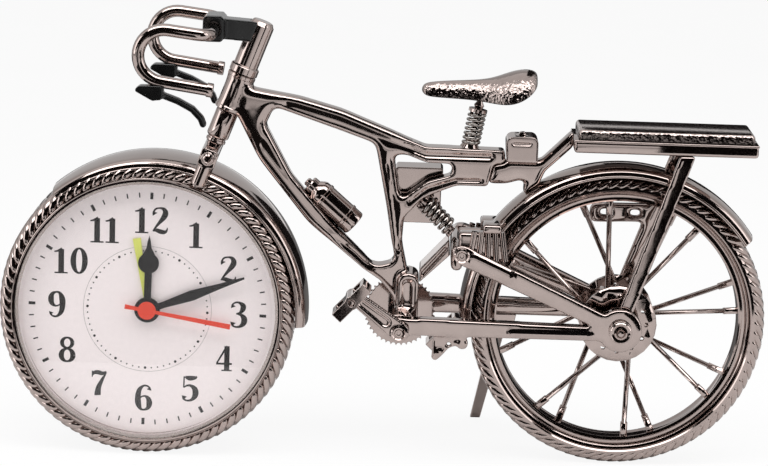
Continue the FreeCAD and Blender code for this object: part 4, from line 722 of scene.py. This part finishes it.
class CLOCK_OT_tubes(bpy.types.Operator):
    """Turns the bottle, the steering column and the sleeve of the head tube"""
    bl_idname = "clock.tubes"
    bl_label = "Turned tubes"

    def execute(self, context):
        low, high = at(-8.9, 0, 66.7), at(-19.4, 0, 75.8)
        long = (high - low).length / MM
        ridge = long * 0.82
        stand_for(lathed(low, (high - low).normalized(), (
            (0, 0), (0, 3.2), (0.3, 3.62), (0.7, 3.7), (2.9, 3.7), (3.1, 3.95), (3.8, 3.95), (4.0, 3.7),
            (ridge, 3.7), (ridge + 0.2, 3.95), (ridge + 0.9, 3.95), (ridge + 1.1, 3.7), (long - 0.3, 3.7),
            (long + 0.4, 3.4), (long + 1.4, 2.6), (long + 1.6, 2.4), (long + 3.1, 2.4), (long + 3.4, 2.2),
            (long + 3.4, 1.2), (long + 4.3, 1.2), (long + 4.6, 0.9), (long + 4.6, 0)), 40),
            "bottle_shell", "bottle", 30)

        # distances up the column are from the front axle
        stand_for(lathed(CLOCK_CENTRE, COLUMN, (
            (47.4, 0), (47.4, 2.1), (50.41, 2.1), (50.41, 2.7), (50.6, 2.85), (51.2, 2.85), (51.4, 2.6),
            (51.7, 2.6), (52.1, 3.05), (52.5, 3.2), (59.6, 3.2), (60.0, 3.0), (60.15, 2.6), (60.15, 2.1),
            (79.0, 2.1), (79.0, 0)), 36), "column", "steerer", 30)
        bm = lathed(CLOCK_CENTRE, COLUMN, (
            (71.45, 2.12), (71.45, 3.8), (71.7, 4.1), (73.5, 4.1), (73.85, 3.8), (74.0, 3.5), (86.2, 3.5),
            (86.6, 3.2), (87.2, 2.9), (87.4, 2.6), (87.4, 0)), 40)
        lathe_into(bm, CLOCK_CENTRE, COLUMN, in_metres((71.45, 2.12), (79.1, 2.12), (79.1, 0)), 40)
        stand_for(bm, "stem_tube", "stem", 30)
        trim(lathed(CLOCK_CENTRE, COLUMN, (
            (60.3, 2.12), (60.3, 3.8), (60.5, 4.02), (61.3, 4.02), (61.55, 3.8), (61.7, 3.66), (69.9, 3.66),
            (70.05, 3.8), (70.3, 4.02), (71.1, 4.02), (71.3, 3.8), (71.3, 2.12)), 40),
            "head_sleeve", "main_frame", 30)
        return {"FINISHED"}


class CLOCK_OT_rear_wheel(bpy.types.Operator):
    """Rounds the spokes and hub and rolls the rim, a beaded channel"""
    bl_idname = "clock.rear_wheel"
    bl_label = "Rear wheel"

    def execute(self, context):
        hoop_inside = 34.6 * MM
        bm = merged("rear_rim")
        axis = Vector((REAR_CENTRE.x, 0, REAR_CENTRE.z))
        hoop = [face for face in bm.faces if all(
            (Vector((vert.co.x, 0, vert.co.z)) - axis).length > hoop_inside for vert in face.verts)]
        bmesh.ops.delete(bm, geom=hoop, context="FACES")
        half = in_metres((34.7, -1.2), (34.6, -2.0), (34.4, -2.6), (34.5, -3.2), (34.95, -3.45),
                         (35.4, -3.3), (35.75, -3.2), (36.2, -3.3), (36.4, -3.8), (36.6, -4.4), (37.0, -4.65),
                         (37.4, -4.5), (37.58, -4.0))
        turned(bm, half + [(radius, -y) for radius, y in reversed(half)], REAR_CENTRE, 144)
        stand_for(bm, "spoked_wheel", "rear_rim", 35)
        return {"FINISHED"}


class CLOCK_OT_lens(bpy.types.Operator):
    """Turns the bezel and the bevelled lens"""
    bl_idname = "clock.lens"
    bl_label = "Lens and bezel"

    def execute(self, context):
        bm = bmesh.new()
        turned(bm, in_metres((37.2, -12.65), (37.3, -12.78), (37.5, -12.82), (37.85, -12.75), (38.03, -12.5),
                             (38.05, -9.02), (36.2, -9.02), (36.2, -11.4), (37.2, -11.4)), CLOCK_CENTRE, 168)
        stand_for(bm, "bezel_ring", "bezel", 30)
        bm = bmesh.new()
        turned(bm, in_metres((0, -12.75), (35.6, -12.75), (37.0, -12.4), (37.15, -12.25), (37.15, -11.55),
                             (0, -11.55)), CLOCK_CENTRE, 168, closed=False)
        stand_for(bm, "lens_disc", "lens", 12)
        return {"FINISHED"}


# Figures drawn with a broad pen: each stroke is a run of (along, up, half width) in shares of the height
FIGURES = {
    "0": (("oval", .25, .5, .17, .475, .085, .028),),
    "1": (((.25, .03, .085), (.25, .93, .085)), ((.06, .022, .022), (.44, .022, .022)),
          ((.27, .96, .03), (.16, .86, .03), (.05, .83, .02))),
    "2": (((.105, .73, .085), (.07, .82, .035), (.13, .94, .028), (.26, .975, .028), (.37, .92, .06),
           (.41, .78, .085), (.36, .62, .08), (.24, .42, .05), (.12, .22, .03), (.05, .08, .02)),
          ((.05, .09, .02), (.14, .13, .055), (.26, .08, .07), (.38, .06, .06), (.45, .12, .03),
           (.47, .23, .015))),
    "3": (((.10, .78, .08), (.08, .88, .03), (.16, .965, .028), (.27, .965, .035), (.38, .86, .08),
           (.38, .72, .08), (.30, .57, .04), (.19, .535, .022)),
          ((.19, .535, .022), (.32, .50, .045), (.42, .36, .088), (.41, .18, .085), (.31, .05, .045),
           (.18, .022, .028), (.09, .08, .035), (.10, .20, .085))),
    "4": (((.33, .97, .03), (.04, .30, .025)), ((.02, .28, .03), (.48, .28, .03)),
          ((.33, .03, .08), (.33, .97, .08)), ((.18, .022, .022), (.48, .022, .022))),
    "5": (((.12, .95, .03), (.25, .90, .075), (.42, .93, .05), (.44, .99, .02)),
          ((.09, .97, .022), (.08, .53, .022)),
          ((.08, .53, .02), (.18, .61, .03), (.30, .60, .045), (.41, .46, .085), (.42, .24, .088),
           (.32, .06, .045), (.18, .022, .028), (.09, .08, .035), (.10, .20, .08))),
    "6": (((.40, .80, .075), (.41, .89, .03), (.33, .965, .028), (.22, .95, .035), (.11, .78, .07),
           (.075, .50, .088), (.09, .25, .088), (.16, .06, .045), (.26, .022, .028), (.37, .10, .06),
           (.41, .28, .088), (.38, .46, .07), (.28, .56, .03), (.17, .52, .022), (.12, .42, .02)),),
    "7": (((.06, .80, .018), (.09, .90, .05), (.2, .93, .065), (.34, .89, .06), (.46, .96, .02)),
          ((.455, .93, .02), (.33, .62, .05), (.24, .36, .075), (.21, .12, .095), (.21, .03, .095)),
          ((.05, .98, .02), (.05, .74, .018))),
    "8": (("oval", .25, .75, .15, .2, .06, .028), ("oval", .25, .27, .17, .245, .08, .028)),
}
FIGURES["9"] = tuple(tuple((.5 - x, 1 - y, half) for x, y, half in stroke) for stroke in FIGURES["6"])


def pen_line(stroke, steps=4):
    """A stroke's points joined by a smooth line, or an oval that is thick at its sides."""
    if stroke[0] == "oval":
        x, y, wide, high, side, top = stroke[1:]
        turns = [2 * math.pi * i / 24 for i in range(25)]
        return [(x + wide * math.cos(t), y + high * math.sin(t),
                 top + (side - top) * abs(math.cos(t)) ** 1.5) for t in turns]
    if len(stroke) == 2:
        return list(stroke)
    ends = (stroke[0],) + tuple(stroke) + (stroke[-1],)
    line = []
    for a, b, c, d in zip(ends, ends[1:], ends[2:], ends[3:]):
        for i in range(steps):
            t = i / steps
            line.append(tuple(0.5 * (2 * q + (r - p) * t + (2 * p - 5 * q + 4 * r - s) * t ** 2
                                     + (3 * q - p - 3 * r + s) * t ** 3) for p, q, r, s in zip(a, b, c, d)))
    return line + [stroke[-1]]


def figure_mesh(words, height):
    """The figures of one hour as a thin mesh that stands in the XZ plane, its middle at the origin."""
    wide, heavy, flat = 1.3, 1.25, 0.02
    advance = 0.44 if words == "11" else 0.52
    paths = []
    for place, figure in enumerate(words):
        shift = (place - (len(words) - 1) / 2) * advance - 0.25
        for stroke in FIGURES[figure]:
            paths.append([(((x + shift) * wide * height, (y - 0.5) * height, 0), half * heavy * height)
                          for x, y, half in pen_line(stroke)])
    mesh = strands(paths, 3)
    mesh.transform(Matrix.Rotation(math.radians(90), 4, "X") @ Matrix.Diagonal((1, 1, flat, 1)))
    return mesh


class CLOCK_OT_dial(bpy.types.Operator):
    """Prints the numbers, minute ticks and rings of dots on the dial"""
    bl_idname = "clock.dial"
    bl_label = "Dial print"

    def execute(self, context):
        dial = context.scene.clock_dial
        lift = 0.03 * MM
        stand = Matrix.Rotation(math.radians(90), 4, "X")
        bm = bmesh.new()

        def put(radius, degrees):
            """A place just over the dial, clockwise from twelve."""
            turn = math.radians(degrees) + dial.turn
            return Vector((CLOCK_CENTRE.x + radius * math.sin(turn), DIAL_FACE - lift,
                           CLOCK_CENTRE.z - dial.drop + radius * math.cos(turn)))

        # a tick's length and width and a dot's radius, at every fifth minute and between
        fifth, between = (1.9 * MM, 0.85 * MM, 0.38 * MM), (1.4 * MM, 0.36 * MM, 0.22 * MM)
        for minute in range(60):
            length, width, radius = between if minute % 5 else fifth
            size = Matrix.Diagonal((width, 1, length, 1))
            turn = Matrix.Rotation(math.radians(6 * minute) + dial.turn, 4, "Y")
            place = Matrix.Translation(put(dial.tick_ring - length / 2, 6 * minute))
            bmesh.ops.create_grid(bm, x_segments=1, y_segments=1, size=0.5,
                                  matrix=place @ turn @ size @ stand)
            place = Matrix.Translation(put(dial.dot_ring, 6 * minute))
            bmesh.ops.create_circle(bm, cap_ends=True, segments=12, radius=radius, matrix=place @ stand)
        bmesh.ops.solidify(bm, geom=bm.faces[:], thickness=0.02 * MM)
        for hour in range(1, 13):
            mesh = figure_mesh(str(hour), dial.number_height)
            mesh.transform(Matrix.Translation(put(dial.number_ring, 30 * hour)))
            bm.from_mesh(mesh)
        collect("dial_print", closed_mesh(bm, "dial_print", 60), "steering", FINISH["ink"])

        bm = bmesh.new()
        face = DIAL_FACE - CLOCK_CENTRE.y
        within = dial.line_ring - 0.09 * MM
        turned(bm, [(dial.line_ring, face), (dial.line_ring, face - lift), (within, face - lift),
                    (within, face)], CLOCK_CENTRE, 128)
        collect("dial_circle", closed_mesh(bm, "dial_circle"), "steering", FINISH["fine_ink"])
        return {"FINISHED"}


class CLOCK_OT_hands(bpy.types.Operator):
    """Gives the second hand its smaller hub, so that the black hub behind shows round it"""
    bl_idname = "clock.hands"
    bl_label = "Hands"

    def execute(self, context):
        hub_radius, hub_scale = 3.8 * MM, 0.83
        bm = merged("second_hand")
        hub = [vert for vert in bm.verts if vert.co.y < DIAL_FACE
               and math.hypot(vert.co.x - CLOCK_CENTRE.x, vert.co.z - CLOCK_CENTRE.z) < hub_radius]
        bmesh.ops.scale(bm, vec=(hub_scale, 1, hub_scale), space=Matrix.Translation(-CLOCK_CENTRE),
                        verts=hub)
        stand_for(bm, "second_pointer", "second_hand", 35)
        return {"FINISHED"}


def wheel_point(centre, radius, y, degrees):
    """A place on a wheel in millimetres: out from its axis, along the axis, and round it from the rear."""
    turn = math.radians(degrees)
    return centre + Vector((radius * math.cos(turn), y, radius * math.sin(turn))) * MM


class CLOCK_OT_tread(bpy.types.Operator):
    """Winds the twisted strands over both tyres"""
    bl_idname = "clock.tread"
    bl_label = "Tread"

    def tyre(self, context, name, node, profile, strand, centre, bosses=()):
        """A tyre's body with its strands. The profile is (radius, y) for one side, and the strand is
        (radius, y, share of the slant, thickness) from the edge to the crown, in millimetres. Bosses are the
        screw pillars inside the drum, by their angles."""
        tread = context.scene.clock_tread
        bm = bmesh.new()
        turned(bm, in_metres(*profile, *[(radius, -y) for radius, y in reversed(profile)]), centre, 168)
        boss_ring, boss_middle, boss_radius, boss_length = 37.1, 7.2, 1.6, 4
        for degrees in bosses:
            place = Matrix.Translation(wheel_point(centre, boss_ring, boss_middle, degrees))
            bmesh.ops.create_cone(bm, cap_ends=True, segments=16, radius1=boss_radius * MM,
                                  radius2=boss_radius * MM, depth=boss_length * MM,
                                  matrix=place @ Matrix.Rotation(math.radians(90), 4, "X"))
        stand_for(bm, name, node, 30)

        # sunk into the body and swollen, so that no gap is left between two strands
        sunk, inward, swell = 0.12, 0.1, 1.2
        half = [(radius - sunk, y + inward, share, size * swell) for radius, y, share, size in strand]
        path = half + [(radius, -y, share, size) for radius, y, share, size in reversed(half[:-1])]
        slant = math.degrees(tread.slant)
        bm = bmesh_of(strands([[(wheel_point(centre, radius, y, share * slant), size * MM)
                                for radius, y, share, size in path]], 1))
        step = 2 * math.pi / tread.count
        bmesh.ops.spin(bm, geom=bm.verts[:] + bm.edges[:] + bm.faces[:], cent=centre, axis=OUTWARD,
                       angle=step * (tread.count - 1), steps=tread.count - 1, use_duplicate=True)
        trim(bm, name + "_strands", node, 70)

    def execute(self, context):
        self.tyre(context, "drum", "front_tyre",
                  [(38.1, -12.5), (38.25, -12.4), (38.4, -11.8), (39.4, -10.9), (40.8, -9.1), (41.1, -8.5)],
                  [(38.5, -12.1, 1.04, .3), (38.75, -11.75, 0.94, .75), (39.3, -11.35, 0.76, .98),
                   (39.95, -10.75, 0.52, 1.1), (40.5, -9.9, 0.26, 1.14), (40.85, -8.8, 0.0, 1.14),
                   (40.9, -7.0, -0.28, 1.1), (40.9, -4.0, -0.52, 1.1), (40.9, 0, -0.62, 1.1)],
                  CLOCK_CENTRE, (60, 180, 300))
        self.tyre(context, "rear_tyre_body", "rear_tyre",
                  [(37.6, -5.5), (37.7, -6.0), (38.05, -6.3), (38.5, -6.25), (39.2, -5.9), (40.3, -5.05),
                   (40.9, -4.2), (41.2, -3.2)],
                  [(38.55, -5.9, 1.04, .3), (38.85, -5.6, 0.94, .68), (39.4, -5.25, 0.76, .88),
                   (40.05, -4.75, 0.5, 1.0), (40.6, -4.0, 0.24, 1.04), (40.93, -3.0, -0.02, 1.04),
                   (41.0, -1.6, -0.26, 1.0), (41.0, 0, -0.36, 1.0)],
                  REAR_CENTRE)
        return {"FINISHED"}


class CLOCK_OT_guards(bpy.types.Operator):
    """Rolls both mudguards, each with a bead along its edges"""
    bl_idname = "clock.guards"
    bl_label = "Mudguards"

    def guard(self, name, node, wheel, shift, crown, half, low, high, pads=()):
        """A mudguard over a wheel from one angle to another, with its crown's radius and its half width in
        millimetres. Its middle may be shifted off the wheel's, and pads at some angles reach to the wheel."""
        thick, corner, dip, bead, bead_inset, steps = 0.9, 2.4, 0.6, 0.45, 0.2, 66
        pad_width, pad_length, pad_gap = 10, 3, 0.02
        centre = wheel + Vector((shift[0], 0, shift[1])) * MM
        start, sweep = math.radians(low), math.radians(high - low)

        def side(skin):
            """Half the section from the crown to the edge: a gentle arc, then a rolled corner."""
            flat = half - corner
            run = [(crown - skin - dip * (i / 6) ** 2, flat * i / 6) for i in range(6)]
            turns = [math.radians(10 + 16 * i) for i in range(6)]
            return run + [(crown - dip - corner + (corner - skin) * math.cos(turn),
                           flat + (corner - skin) * math.sin(turn)) for turn in turns]

        outer, inner = side(0), side(thick)
        bm = bmesh.new()
        turned(bm, in_metres(*[(radius, -y) for radius, y in reversed(outer[1:])], *outer, *inner[::-1],
                             *[(radius, -y) for radius, y in inner[1:]]), centre, steps, start, sweep)
        seat = WHEEL_RADIUS + pad_gap
        for degrees in pads:
            out = math.radians(degrees)
            top = crown - thick / 2 + shift[0] * math.cos(out) + shift[1] * math.sin(out)
            place = Matrix.Translation(wheel_point(wheel, (seat + top) / 2, 0, degrees))
            turn = Matrix.Rotation(-out, 4, "Y")
            size = Matrix.Diagonal(((top - seat) * MM, pad_width * MM, pad_length * MM, 1))
            bmesh.ops.create_cube(bm, size=1, matrix=place @ turn @ size)
        bevelled(stand_for(bm, name, node), 0.25 * MM, 50)

        bm = bmesh.new()
        for y in (bead_inset - half, half - bead_inset):
            turned(bm, in_metres(*[(crown - dip - corner + bead * math.cos(math.pi * i / 4),
                                    y + bead * math.sin(math.pi * i / 4)) for i in range(8)]),
                   centre, steps, start, sweep)
        trim(bm, name + "_beads", node, 50)

    def execute(self, context):
        self.guard("front_guard", "front_mudguard", CLOCK_CENTRE, (0.9, -0.7), 44.5, 11.2, -4.0, 130.0,
                   (2, 62, 124))
        self.guard("rear_guard", "rear_mudguard", REAR_CENTRE, (0, 0), 45.2, 7.6, 34.0, 180.5)
        return {"FINISHED"}


def coil(base, along, low, high, radius, turns, wire):
    """A helix of round wire about a line, as a bmesh. Its sizes and its ends are in millimetres."""
    aside = Vector((0, 1, 0))
    out = along.cross(aside)
    arcs = 16
    steps = round(turns * arcs)
    path = []
    for i in range(steps + 1):
        turn = 2 * math.pi * i / arcs
        centre = base + along * (low + (high - low) * i / steps) * MM
        path.append((centre + (aside * math.cos(turn) + out * math.sin(turn)) * radius * MM, wire / 2 * MM))
    return bmesh_of(strands([path], 2))


class CLOCK_OT_springs(bpy.types.Operator):
    """Winds the seat spring and the shock's spring from round wire"""
    bl_idname = "clock.springs"
    bl_label = "Springs"

    def execute(self, context):
        lean = math.radians(10.3)
        post = Vector((math.sin(lean), 0, math.cos(lean)))
        stand_for(coil(at(23.0, 0, 89.9), post, 1.0, 10.2, 2.2, 7, 1.0), "seat_coil", "seat_spring", 75)
        low, high = at(19.4, 0, 65.4), at(9.6, 0, 74.6)
        long = (high - low).length / MM
        stand_for(coil(low, (high - low).normalized(), 1.7, long - 2.1, 2.1, 6, 1.3), "shock_coil",
                  "shock_spring", 75)
        return {"FINISHED"}


def arc(centre, start, end, bulge, steps=8):
    """Points from start to end round a centre, by way of the bulge direction."""
    radius = (start - centre).length
    first, way, last = (start - centre).normalized(), bulge.normalized(), (end - centre).normalized()
    rays = [first.slerp(way, i / steps) for i in range(steps)]
    rays += [way.slerp(last, i / steps) for i in range(steps + 1)]
    return [centre + ray * radius for ray in rays]


class CLOCK_OT_handlebar(bpy.types.Operator):
    """Bends the drop handlebar from round tube"""
    bl_idname = "clock.handlebar"
    bl_label = "Handlebar"

    def execute(self, context):
        # the bar sits in a clamp ahead of the column, and its grips slope down to the rear
        clamp_height, clamp_ahead, slope = 84.3 * MM, Vector((-12.6, 0, 0.9)) * MM, math.radians(8)
        seat = CLOCK_CENTRE + COLUMN * clamp_height + clamp_ahead
        aside = Vector((0, 1, 0))
        forward = Vector((-11.4, 0, 1.4)).normalized()
        up = Vector((forward.z, 0, -forward.x))
        back = Vector((math.cos(slope), 0, -math.sin(slope)))
        down = Vector((-math.sin(slope), 0, -math.cos(slope)))
        turn, bend, radius, width = 4.5 * MM, 7.2 * MM, 1.75 * MM, 21.5 * MM
        reach, grip = 11.4 * MM, 14.2 * MM
        corner = seat + aside * width
        drop_start = corner + forward * reach
        centre = drop_start - up * bend
        drop_end = centre + down * bend
        grip_end = drop_end + back * grip
        far = [seat]
        far += arc(corner + (forward - aside) * turn, corner - aside * turn, corner + forward * turn,
                   aside - forward)
        far += arc(centre, drop_start, drop_end, forward - back, 10) + [grip_end]
        near = [Vector((place.x, 2 * seat.y - place.y, place.z)) for place in reversed(far[1:])]
        bm = bmesh_of(strands([[(place, radius) for place in near + far]], 6))
        for end in (grip_end, near[0]):
            lathe_into(bm, end - back * 1.2 * MM, back,
                       in_metres((0, 0), (0, 2.0), (1.5, 2.0), (1.7, 1.8), (1.7, 0)), 24)
        stand_for(bm, "bar", "handlebar", 50)
        return {"FINISHED"}


class CLOCK_OT_saddle(bpy.types.Operator):
    """Shapes the saddle, smooth on top and grained down its sides"""
    bl_idname = "clock.saddle"
    bl_label = "Saddle"

    def execute(self, context):
        # stations along the saddle: x, half width, and over the axles the lower edge, underside and top
        stations = (
            (8.9, 1.3, 63.8, 63.5, 64.9), (9.8, 2.4, 62.7, 63.1, 65.9), (11.4, 2.9, 62.2, 62.9, 66.4),
            (16.0, 3.5, 62.0, 63.1, 66.9), (23.0, 4.2, 61.8, 63.0, 67.3), (26.5, 5.3, 61.4, 63.0, 67.7),
            (29.5, 7.2, 61.1, 63.2, 68.4), (32.5, 9.0, 60.9, 63.9, 69.6), (35.5, 9.9, 61.4, 65.0, 70.6),
            (38.4, 9.6, 63.0, 66.4, 70.9), (40.4, 8.0, 65.0, 67.1, 70.4), (41.4, 5.6, 66.8, 67.7, 69.4))
        bm = bmesh.new()
        rims = []
        for x, half, edge, under, high in stations:
            loop = bmesh.ops.create_circle(bm, segments=16, radius=1)["verts"]
            for vert in loop:
                along, up = vert.co.x, vert.co.y
                rise = (high - edge) * up if up > 0 else (edge - under) * up
                vert.co = at(x, half * along, WHEEL_RADIUS + edge + rise)
            rims.append(list(dict.fromkeys(rim for vert in loop for rim in vert.link_edges)))
        for first, second in zip(rims, rims[1:]):
            bmesh.ops.bridge_loops(bm, edges=first + second)
        for rim in (rims[0], rims[-1]):
            bmesh.ops.holes_fill(bm, edges=rim, sides=0)
        piece = stand_for(bm, "saddle_shell", "saddle", 80)
        # painted shade: the saddle's finish is the darker copy of the plating, its underside painted near
        # black
        piece.data.materials.clear()
        piece.data.materials.append(FINISH["saddle_shaded_plating"])
        rounds = piece.modifiers.new("rounds", "SUBSURF")
        rounds.levels = 2
        rounds.render_levels = 2
        return {"FINISHED"}


class CLOCK_OT_rack(bpy.types.Operator):
    """Makes the rack: a polished tray with a groove under a padded top with grained sides. The groove is dark
    partly by its shape and partly because the pad's underside is painted near black as painted shade
    """
    bl_idname = "clock.rack"
    bl_label = "Rack"

    def bar(self, low, high, edge, segments):
        """A bar with rounded edges from corner to corner, as a bmesh."""
        bm = bmesh.new()
        rounded_block(bm, low, high, edge, segments)
        return bm

    def execute(self, context):
        low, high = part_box("rack_tray")
        top = high.z + 0.9 * MM
        stand_for(self.bar(low, Vector((high.x, high.y, top)), 0.9 * MM, 4),
                  "rack_tray_edge", "rack_tray", 50)
        proud = Vector((0.15 * MM, 0.2 * MM, 0))
        trim(self.bar(Vector((low.x, low.y, top - 0.55 * MM)) - proud,
                      Vector((high.x, high.y, top + 0.15 * MM)) + proud, 0.33 * MM, 3),
             "rack_bead", "rack_tray", 50)
        inset = Vector((1.1 * MM, 0.35 * MM, 0))
        pad_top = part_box("rack_pad")[1].z + 1.0 * MM
        stand_for(self.bar(Vector((low.x, low.y, top - 0.5 * MM)) + inset,
                           Vector((high.x, high.y, pad_top)) - inset, 1.1 * MM, 5),
                  "rack_padding", "rack_pad", 50)
        return {"FINISHED"}


class CLOCK_OT_brake(bpy.types.Operator):
    """Builds the bridge between the stays with the ribbed brake blocks"""
    bl_idname = "clock.brake"
    bl_label = "Bridge and brake"

    def execute(self, context):
        # a crossbar, and on each side a block, its cap and its fins
        bm = bmesh.new()
        rounded_block(bm, at(18.6, -17.4, 57.6), at(21.8, 17.4, 64.6), 1.5 * MM, 3)
        for side, top in ((-1, 69.8), (1, 66.0)):
            near, far = sorted((side * 15.2, side * 9.6))
            rounded_block(bm, at(20.6, near, 60.2), at(33.6, far, top - 1.6), 1.0 * MM, 3)
            near, far = sorted((side * 17.5, side * 9.0))
            rounded_block(bm, at(27.2, near, top - 1.2), at(32.4, far, top + 1.2), 0.8 * MM, 3)
            fins = [[(at(25.0 + 1.9 * fin, side * 15.5, top - 1.0), 0.9 * MM),
                     (at(23.8 + 2.5 * fin, side * 15.5, 60.6), 0.9 * MM)] for fin in range(5)]
            bm.from_mesh(strands(fins, 3))
        stand_for(bm, "brake_bridge", "stay_bridge")
        return {"FINISHED"}


class CLOCK_OT_screws(bpy.types.Operator):
    """Adds the ringed screws and nuts of the crown, the pivot, the rear axle and the crank"""
    bl_idname = "clock.screws"
    bl_label = "Small parts"

    def rosette(self, name, like, place, profile, near):
        """A turned screw head or nut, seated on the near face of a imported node. Near is how far round its
        place that face is looked for."""
        close = [vert.co.y for vert in frame["nodes"][like].data.vertices
                 if math.hypot(vert.co.x - place.x, vert.co.z - place.z) < near * MM]
        trim(lathed(Vector((place.x, min(close), place.z)), OUTWARD, profile, 28), name, like, 30)

    def execute(self, context):
        # each profile is (distance out of the face, radius)
        head = ((-0.4, 0), (-0.4, 1.35), (0.2, 1.35), (0.45, 1.0), (0.2, 0.75), (0.2, 0.5), (0.5, 0.4),
                (0.5, 0))
        ringed = ((-0.3, 0), (-0.3, 3.0), (0.25, 3.0), (0.45, 2.75), (0.2, 2.4), (0.1, 1.95), (0.5, 1.75),
                  (0.6, 1.4), (0.3, 1.15), (0.9, 0.85), (1.05, 0.4), (1.05, 0))
        bolt = ((-0.3, 0), (-0.3, 2.2), (0.3, 2.2), (0.5, 1.9), (0.25, 1.6), (0.2, 1.2), (0.5, 1.0),
                (0.5, 0.6), (0.1, 0.45), (0.1, 0))
        self.rosette("crown_screw", "fork_crown", CLOCK_CENTRE + COLUMN * 47.9 * MM, head, 2)
        self.rosette("pivot_screw", "near_stay", at(21.6, 0, 62.2), bolt, 2.5)
        self.rosette("axle_nut", "rear_axle", REAR_CENTRE, ringed, 3.2)
        self.rosette("crank_bolt", "near_crank", middle("crank_axle"), bolt, 2.5)
        return {"FINISHED"}


class CLOCK_PT_panel(bpy.types.Panel):
    bl_label = "Bicycle clock"
    bl_idname = "CLOCK_PT_panel"
    bl_space_type = "VIEW_3D"
    bl_region_type = "UI"
    bl_category = "Clock"

    def draw(self, context):
        for operator in STEPS:
            self.layout.operator(operator.bl_idname)
        for group in GROUPS:
            settings = getattr(context.scene, group)
            box = self.layout.box()
            for name in settings.__annotations__:
                box.prop(settings, name)


GROUPS = {"clock_camera": ClockCamera, "clock_light": ClockLight, "clock_finish": ClockFinish,
          "clock_dial": ClockDial, "clock_tread": ClockTread}
STEPS = (CLOCK_OT_camera, CLOCK_OT_stage, CLOCK_OT_finishes, CLOCK_OT_mouldings, CLOCK_OT_tubes,
         CLOCK_OT_rear_wheel, CLOCK_OT_lens, CLOCK_OT_dial, CLOCK_OT_hands, CLOCK_OT_tread, CLOCK_OT_guards,
         CLOCK_OT_springs, CLOCK_OT_handlebar, CLOCK_OT_saddle, CLOCK_OT_rack, CLOCK_OT_brake,
         CLOCK_OT_screws)


def register():
    """Makes the settings and the operators known to Blender."""
    for group in GROUPS.values():
        bpy.utils.register_class(group)
    for name, group in GROUPS.items():
        setattr(bpy.types.Scene, name, bpy.props.PointerProperty(type=group))
    for step in STEPS + (CLOCK_PT_panel,):
        bpy.utils.register_class(step)


def unregister():
    """Takes them out again."""
    for step in reversed(STEPS + (CLOCK_PT_panel,)):
        bpy.utils.unregister_class(step)
    for name in GROUPS:
        delattr(bpy.types.Scene, name)
    for group in reversed(list(GROUPS.values())):
        bpy.utils.unregister_class(group)


def main():
    """Builds the clock step by step."""
    register()
    for step in STEPS:
        family, name = step.bl_idname.split(".")
        getattr(getattr(bpy.ops, family), name)()


if __name__ == "__main__":
    main()
